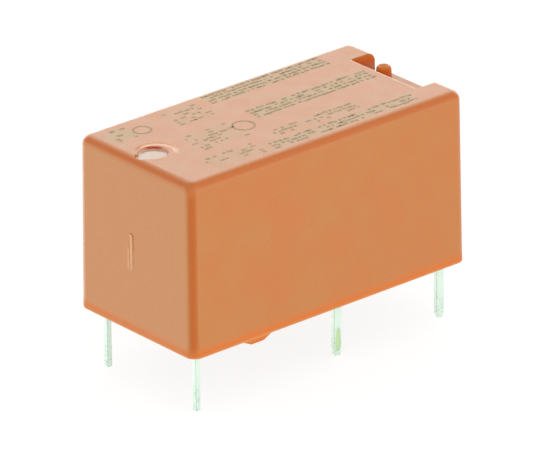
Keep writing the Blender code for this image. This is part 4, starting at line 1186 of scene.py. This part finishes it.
def pinBody(name, pin, material):
    cx, cy = pin["centre"]
    halfX, halfY = pin["half"]
    bottom = pin["bottom"]
    levels = [(bottom + rise, share) for rise, share in pinSet["tipRows"]]
    start = pinSet["tipRows"][-1][0]
    span = pinSet["cutHeight"] - bottom - start
    for i in range(1, pinSet["rows"] + 1):
        levels.append((bottom + start + span * i / pinSet["rows"], 1.0))
    rings = []
    for height, share in levels:
        half = halfX
        if pin["tip"] and height < bottom + pinSet["taper"]:
            drop = 1 - (height - bottom) / pinSet["taper"]
            half = pin["tip"] + (halfX - pin["tip"]) * math.sqrt(max(1 - drop * drop, 0))
        ring = []
        for x, y in denseOutline(half * share, halfY * share, min(pinSet["edge"], half * share * 0.6)):
            point = Vector((cx + x, cy + y, height))
            point += Vector((x, y, 0)).normalized() * lumpAt(point, bottom)
            if pin["coined"] and y < -halfY * 0.9:
                point.y += coinDepthAt(x, height)
            ring.append(tuple(point))
        rings.append(ring)
    made = stackRings(name, rings, material)
    pressed = made.data.attributes.new("pressed", "FLOAT", "POINT")
    for vertex, value in zip(made.data.vertices, pressed.data):
        x, y, z = vertex.co
        if pin["coined"] and y < cy - halfY * 0.5:
            value.value = min(coinDepthAt(x - cx, z) / (0.5 * pinSet["coinDepth"]), 1)
    return made


def buildPins(material):
    for node, place in pins.items():
        name = camelName(node)
        lower = pinBody(name + "Lower", place, material)
        # the node's own solid goes on above the height where the finer pin ends
        upper = copyOfNode(node, name + "Upper", material, pinSet["cutHeight"] - 0.03 * mm)
        pin = joinMeshes(name, [lower, softenEdges(upper, 0.03 * mm)])
        smoothBelow(pin, 40)
        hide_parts(node)
        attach(pin, "housing")
    print("pins built")


# resin under the body

resinSet = {
    "creepWall": 0.10 * mm,
    "creepPin": 0.09 * mm,
    "reachWall": 0.22 * mm,
    "reachPin": 0.13 * mm,
    "swell": 0.012 * mm,
    "swellSize": 2.4 * mm,
    "lift": 0.02 * mm,
    "deepest": 0.11 * mm,
    "cell": 0.11 * mm,
}


def buildResin(material):
    low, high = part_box("sealing_resin")

    def levelAt(x, y):
        # the resin creeps down the walls and the pins
        wall = min(x - low[0], high[0] - x, y - low[1], high[1] - y)
        drop = resinSet["creepWall"] * math.exp(-wall / resinSet["reachWall"])
        for pin in pins.values():
            cx, cy = pin["centre"]
            halfX, halfY = pin["half"]
            away = math.hypot(max(abs(x - cx) - halfX, 0), max(abs(y - cy) - halfY, 0))
            drop += resinSet["creepPin"] * math.exp(-away / resinSet["reachPin"])
        drop += resinSet["swell"] * noise.noise(Vector((x, y, 0)) / resinSet["swellSize"])
        return low[2] + resinSet["lift"] - min(drop, resinSet["deepest"])

    counts = [int((high[i] - low[i]) / resinSet["cell"]) for i in (0, 1)]
    data = bmesh.new()
    gridSheet(data, low, high, counts, levelAt)
    raised = bmesh.ops.extrude_edge_only(data, edges=[e for e in data.edges if e.is_boundary])
    for vertex in raised["geom"]:
        if isinstance(vertex, bmesh.types.BMVert):
            vertex.co.z = high[2]
    bmesh.ops.holes_fill(data, edges=[e for e in data.edges if e.is_boundary], sides=0)
    bmesh.ops.recalc_face_normals(data, faces=data.faces)
    resin = linkMesh("resinFill", data, material)
    smoothBelow(resin, 50)
    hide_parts("sealing_resin")
    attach(resin, "housing")
    print("resin built")


# inner pieces that keep their solids, with softened edges

innerPieces = [
    # node, piece name, body, slot
    ("base", "baseMoulding", "housing", "black_plastic"),
    ("bobbin", "bobbinMoulding", "housing", "ivory_plastic"),
    ("yoke", "yokeStrip", "housing", "plated_iron"),
    ("armature", "armaturePlate", "armature", "plated_iron"),
    ("actuator_card", "cardMoulding", "card", "ivory_plastic"),
]
innerEdge = 0.05 * mm


def buildInnerPieces():
    for node, name, body, slot in innerPieces:
        piece = softenEdges(copyOfNode(node, name, materials[slot]), innerEdge)
        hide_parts(node)
        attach(piece, body)
    print("inner pieces built")


windingSet = {
    "wire": 0.11 * mm,
    "wireRadius": 0.52,  # of the wire's pitch, so that the turns touch
    "sides": 8,
    "around": 40,
}


def windingTree():
    # one turn of round wire, repeated along the bobbin
    tree, values = newGeometryTree("windingTurns", Vector=["Start"], Int=["Turns"],
                                   Float=["Pitch", "Radius", "Wire"])
    step = addNode(tree, "CombineXYZ", {"X": values["Pitch"]})
    line = addNode(tree, "GeometryNodeMeshLine", {
        "Count": values["Turns"], "Start Location": values["Start"], "Offset": step})
    path, wire = [addNode(tree, "GeometryNodeCurvePrimitiveCircle", {
        "Resolution": windingSet[count], "Radius": values[radius]})
        for count, radius in (("around", "Radius"), ("sides", "Wire"))]
    turn = addNode(tree, "GeometryNodeCurveToMesh", {"Curve": path, "Profile Curve": wire})
    placed = addNode(tree, "GeometryNodeInstanceOnPoints", {
        "Points": line, "Instance": turn, "Rotation": (0, math.pi / 2, 0)})
    finishTree(tree, placed, values["Material"])
    return tree


def buildWinding(material):
    low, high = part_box("coil_winding")
    wire = windingSet["wire"]
    turns = int((high[0] - low[0]) / wire)
    radius = (high[2] - low[2]) / 2 - wire
    middle = ((low[1] + high[1]) / 2, (low[2] + high[2]) / 2)
    winding = runTree(windingTree(), "windingTurns", {
        "Start": (low[0] + wire / 2, *middle),
        "Turns": turns,
        "Pitch": (high[0] - low[0] - wire) / (turns - 1),
        "Radius": radius,
        "Wire": wire * windingSet["wireRadius"],
        "Material": material,
    })
    body = copyOfNode("coil_winding", "windingBody", material)
    for vertex in body.data.vertices:
        away = vertex.co.yz - Vector(middle)
        if away.length > 0.8 * radius:
            vertex.co.yz = Vector(middle) + away.normalized() * radius
    winding = joinMeshes("winding", [winding, body])
    smoothBelow(winding, 60)
    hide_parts("coil_winding")
    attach(winding, "housing")
    print("winding built:", turns, "turns")


def dressNodes():
    # every other solid keeps its shape and takes a finish made for its slot
    slots = {part["node"]: part["material_slot"] for part in frame["record"]["subparts"]}
    for node, item in frame["nodes"].items():
        for slot in item.material_slots:
            slot.material = materials[slots[node]]


addCamera()
addWorld()
addFill()
addFloor()
innerFinishes = {
    # dark and light tone, width of a patch, roughness, then metallic, bump depth and stretch
    "black_plastic": ((0.012, 0.012, 0.013), (0.03, 0.03, 0.032), 0.5, (0.4, 0.55), 0, 0.002),
    "amber_resin": ((0.16, 0.075, 0.02), (0.24, 0.12, 0.035), 1.6, (0.12, 0.22)),
    "ivory_plastic": ((0.62, 0.57, 0.44), (0.72, 0.68, 0.56), 1.1, (0.38, 0.5), 0, 0.002),
    "copper_enamel": ((0.42, 0.13, 0.04), (0.62, 0.24, 0.08), 0.7, (0.2, 0.34), 0.9),
    "yellow_tape": ((0.70, 0.50, 0.10), (0.80, 0.62, 0.16), 0.9, (0.25, 0.38)),
    "plated_iron": ((0.48, 0.48, 0.46), (0.64, 0.64, 0.61), 0.25, (0.3, 0.45), 1, 0.003, (0.2, 1, 1)),
    "shim_brass": ((0.62, 0.46, 0.18), (0.76, 0.58, 0.26), 0.4, (0.25, 0.38), 1),
    "spring_bronze": ((0.58, 0.34, 0.16), (0.72, 0.46, 0.24), 0.3, (0.25, 0.36), 1, 0.002, (1, 0.2, 1)),
    "contact_silver": ((0.78, 0.77, 0.72), (0.90, 0.89, 0.85), 0.3, (0.2, 0.32), 1),
}
materials = {slot: mottled(camelName(slot), *finish) for slot, finish in innerFinishes.items()}
materials["orange_plastic"] = orangePlastic()
materials["tinned_copper"] = tinnedMetal()
dressNodes()
buildCover(materials["orange_plastic"], hollowPlastic(), polishedSheenPlastic())
buildPrint()
buildPins(materials["tinned_copper"])
buildResin(materials["amber_resin"])
buildInnerPieces()
buildWinding(materials["copper_enamel"])

bpy.context.scene.view_settings.view_transform = "Standard"
bpy.context.view_layer.update()
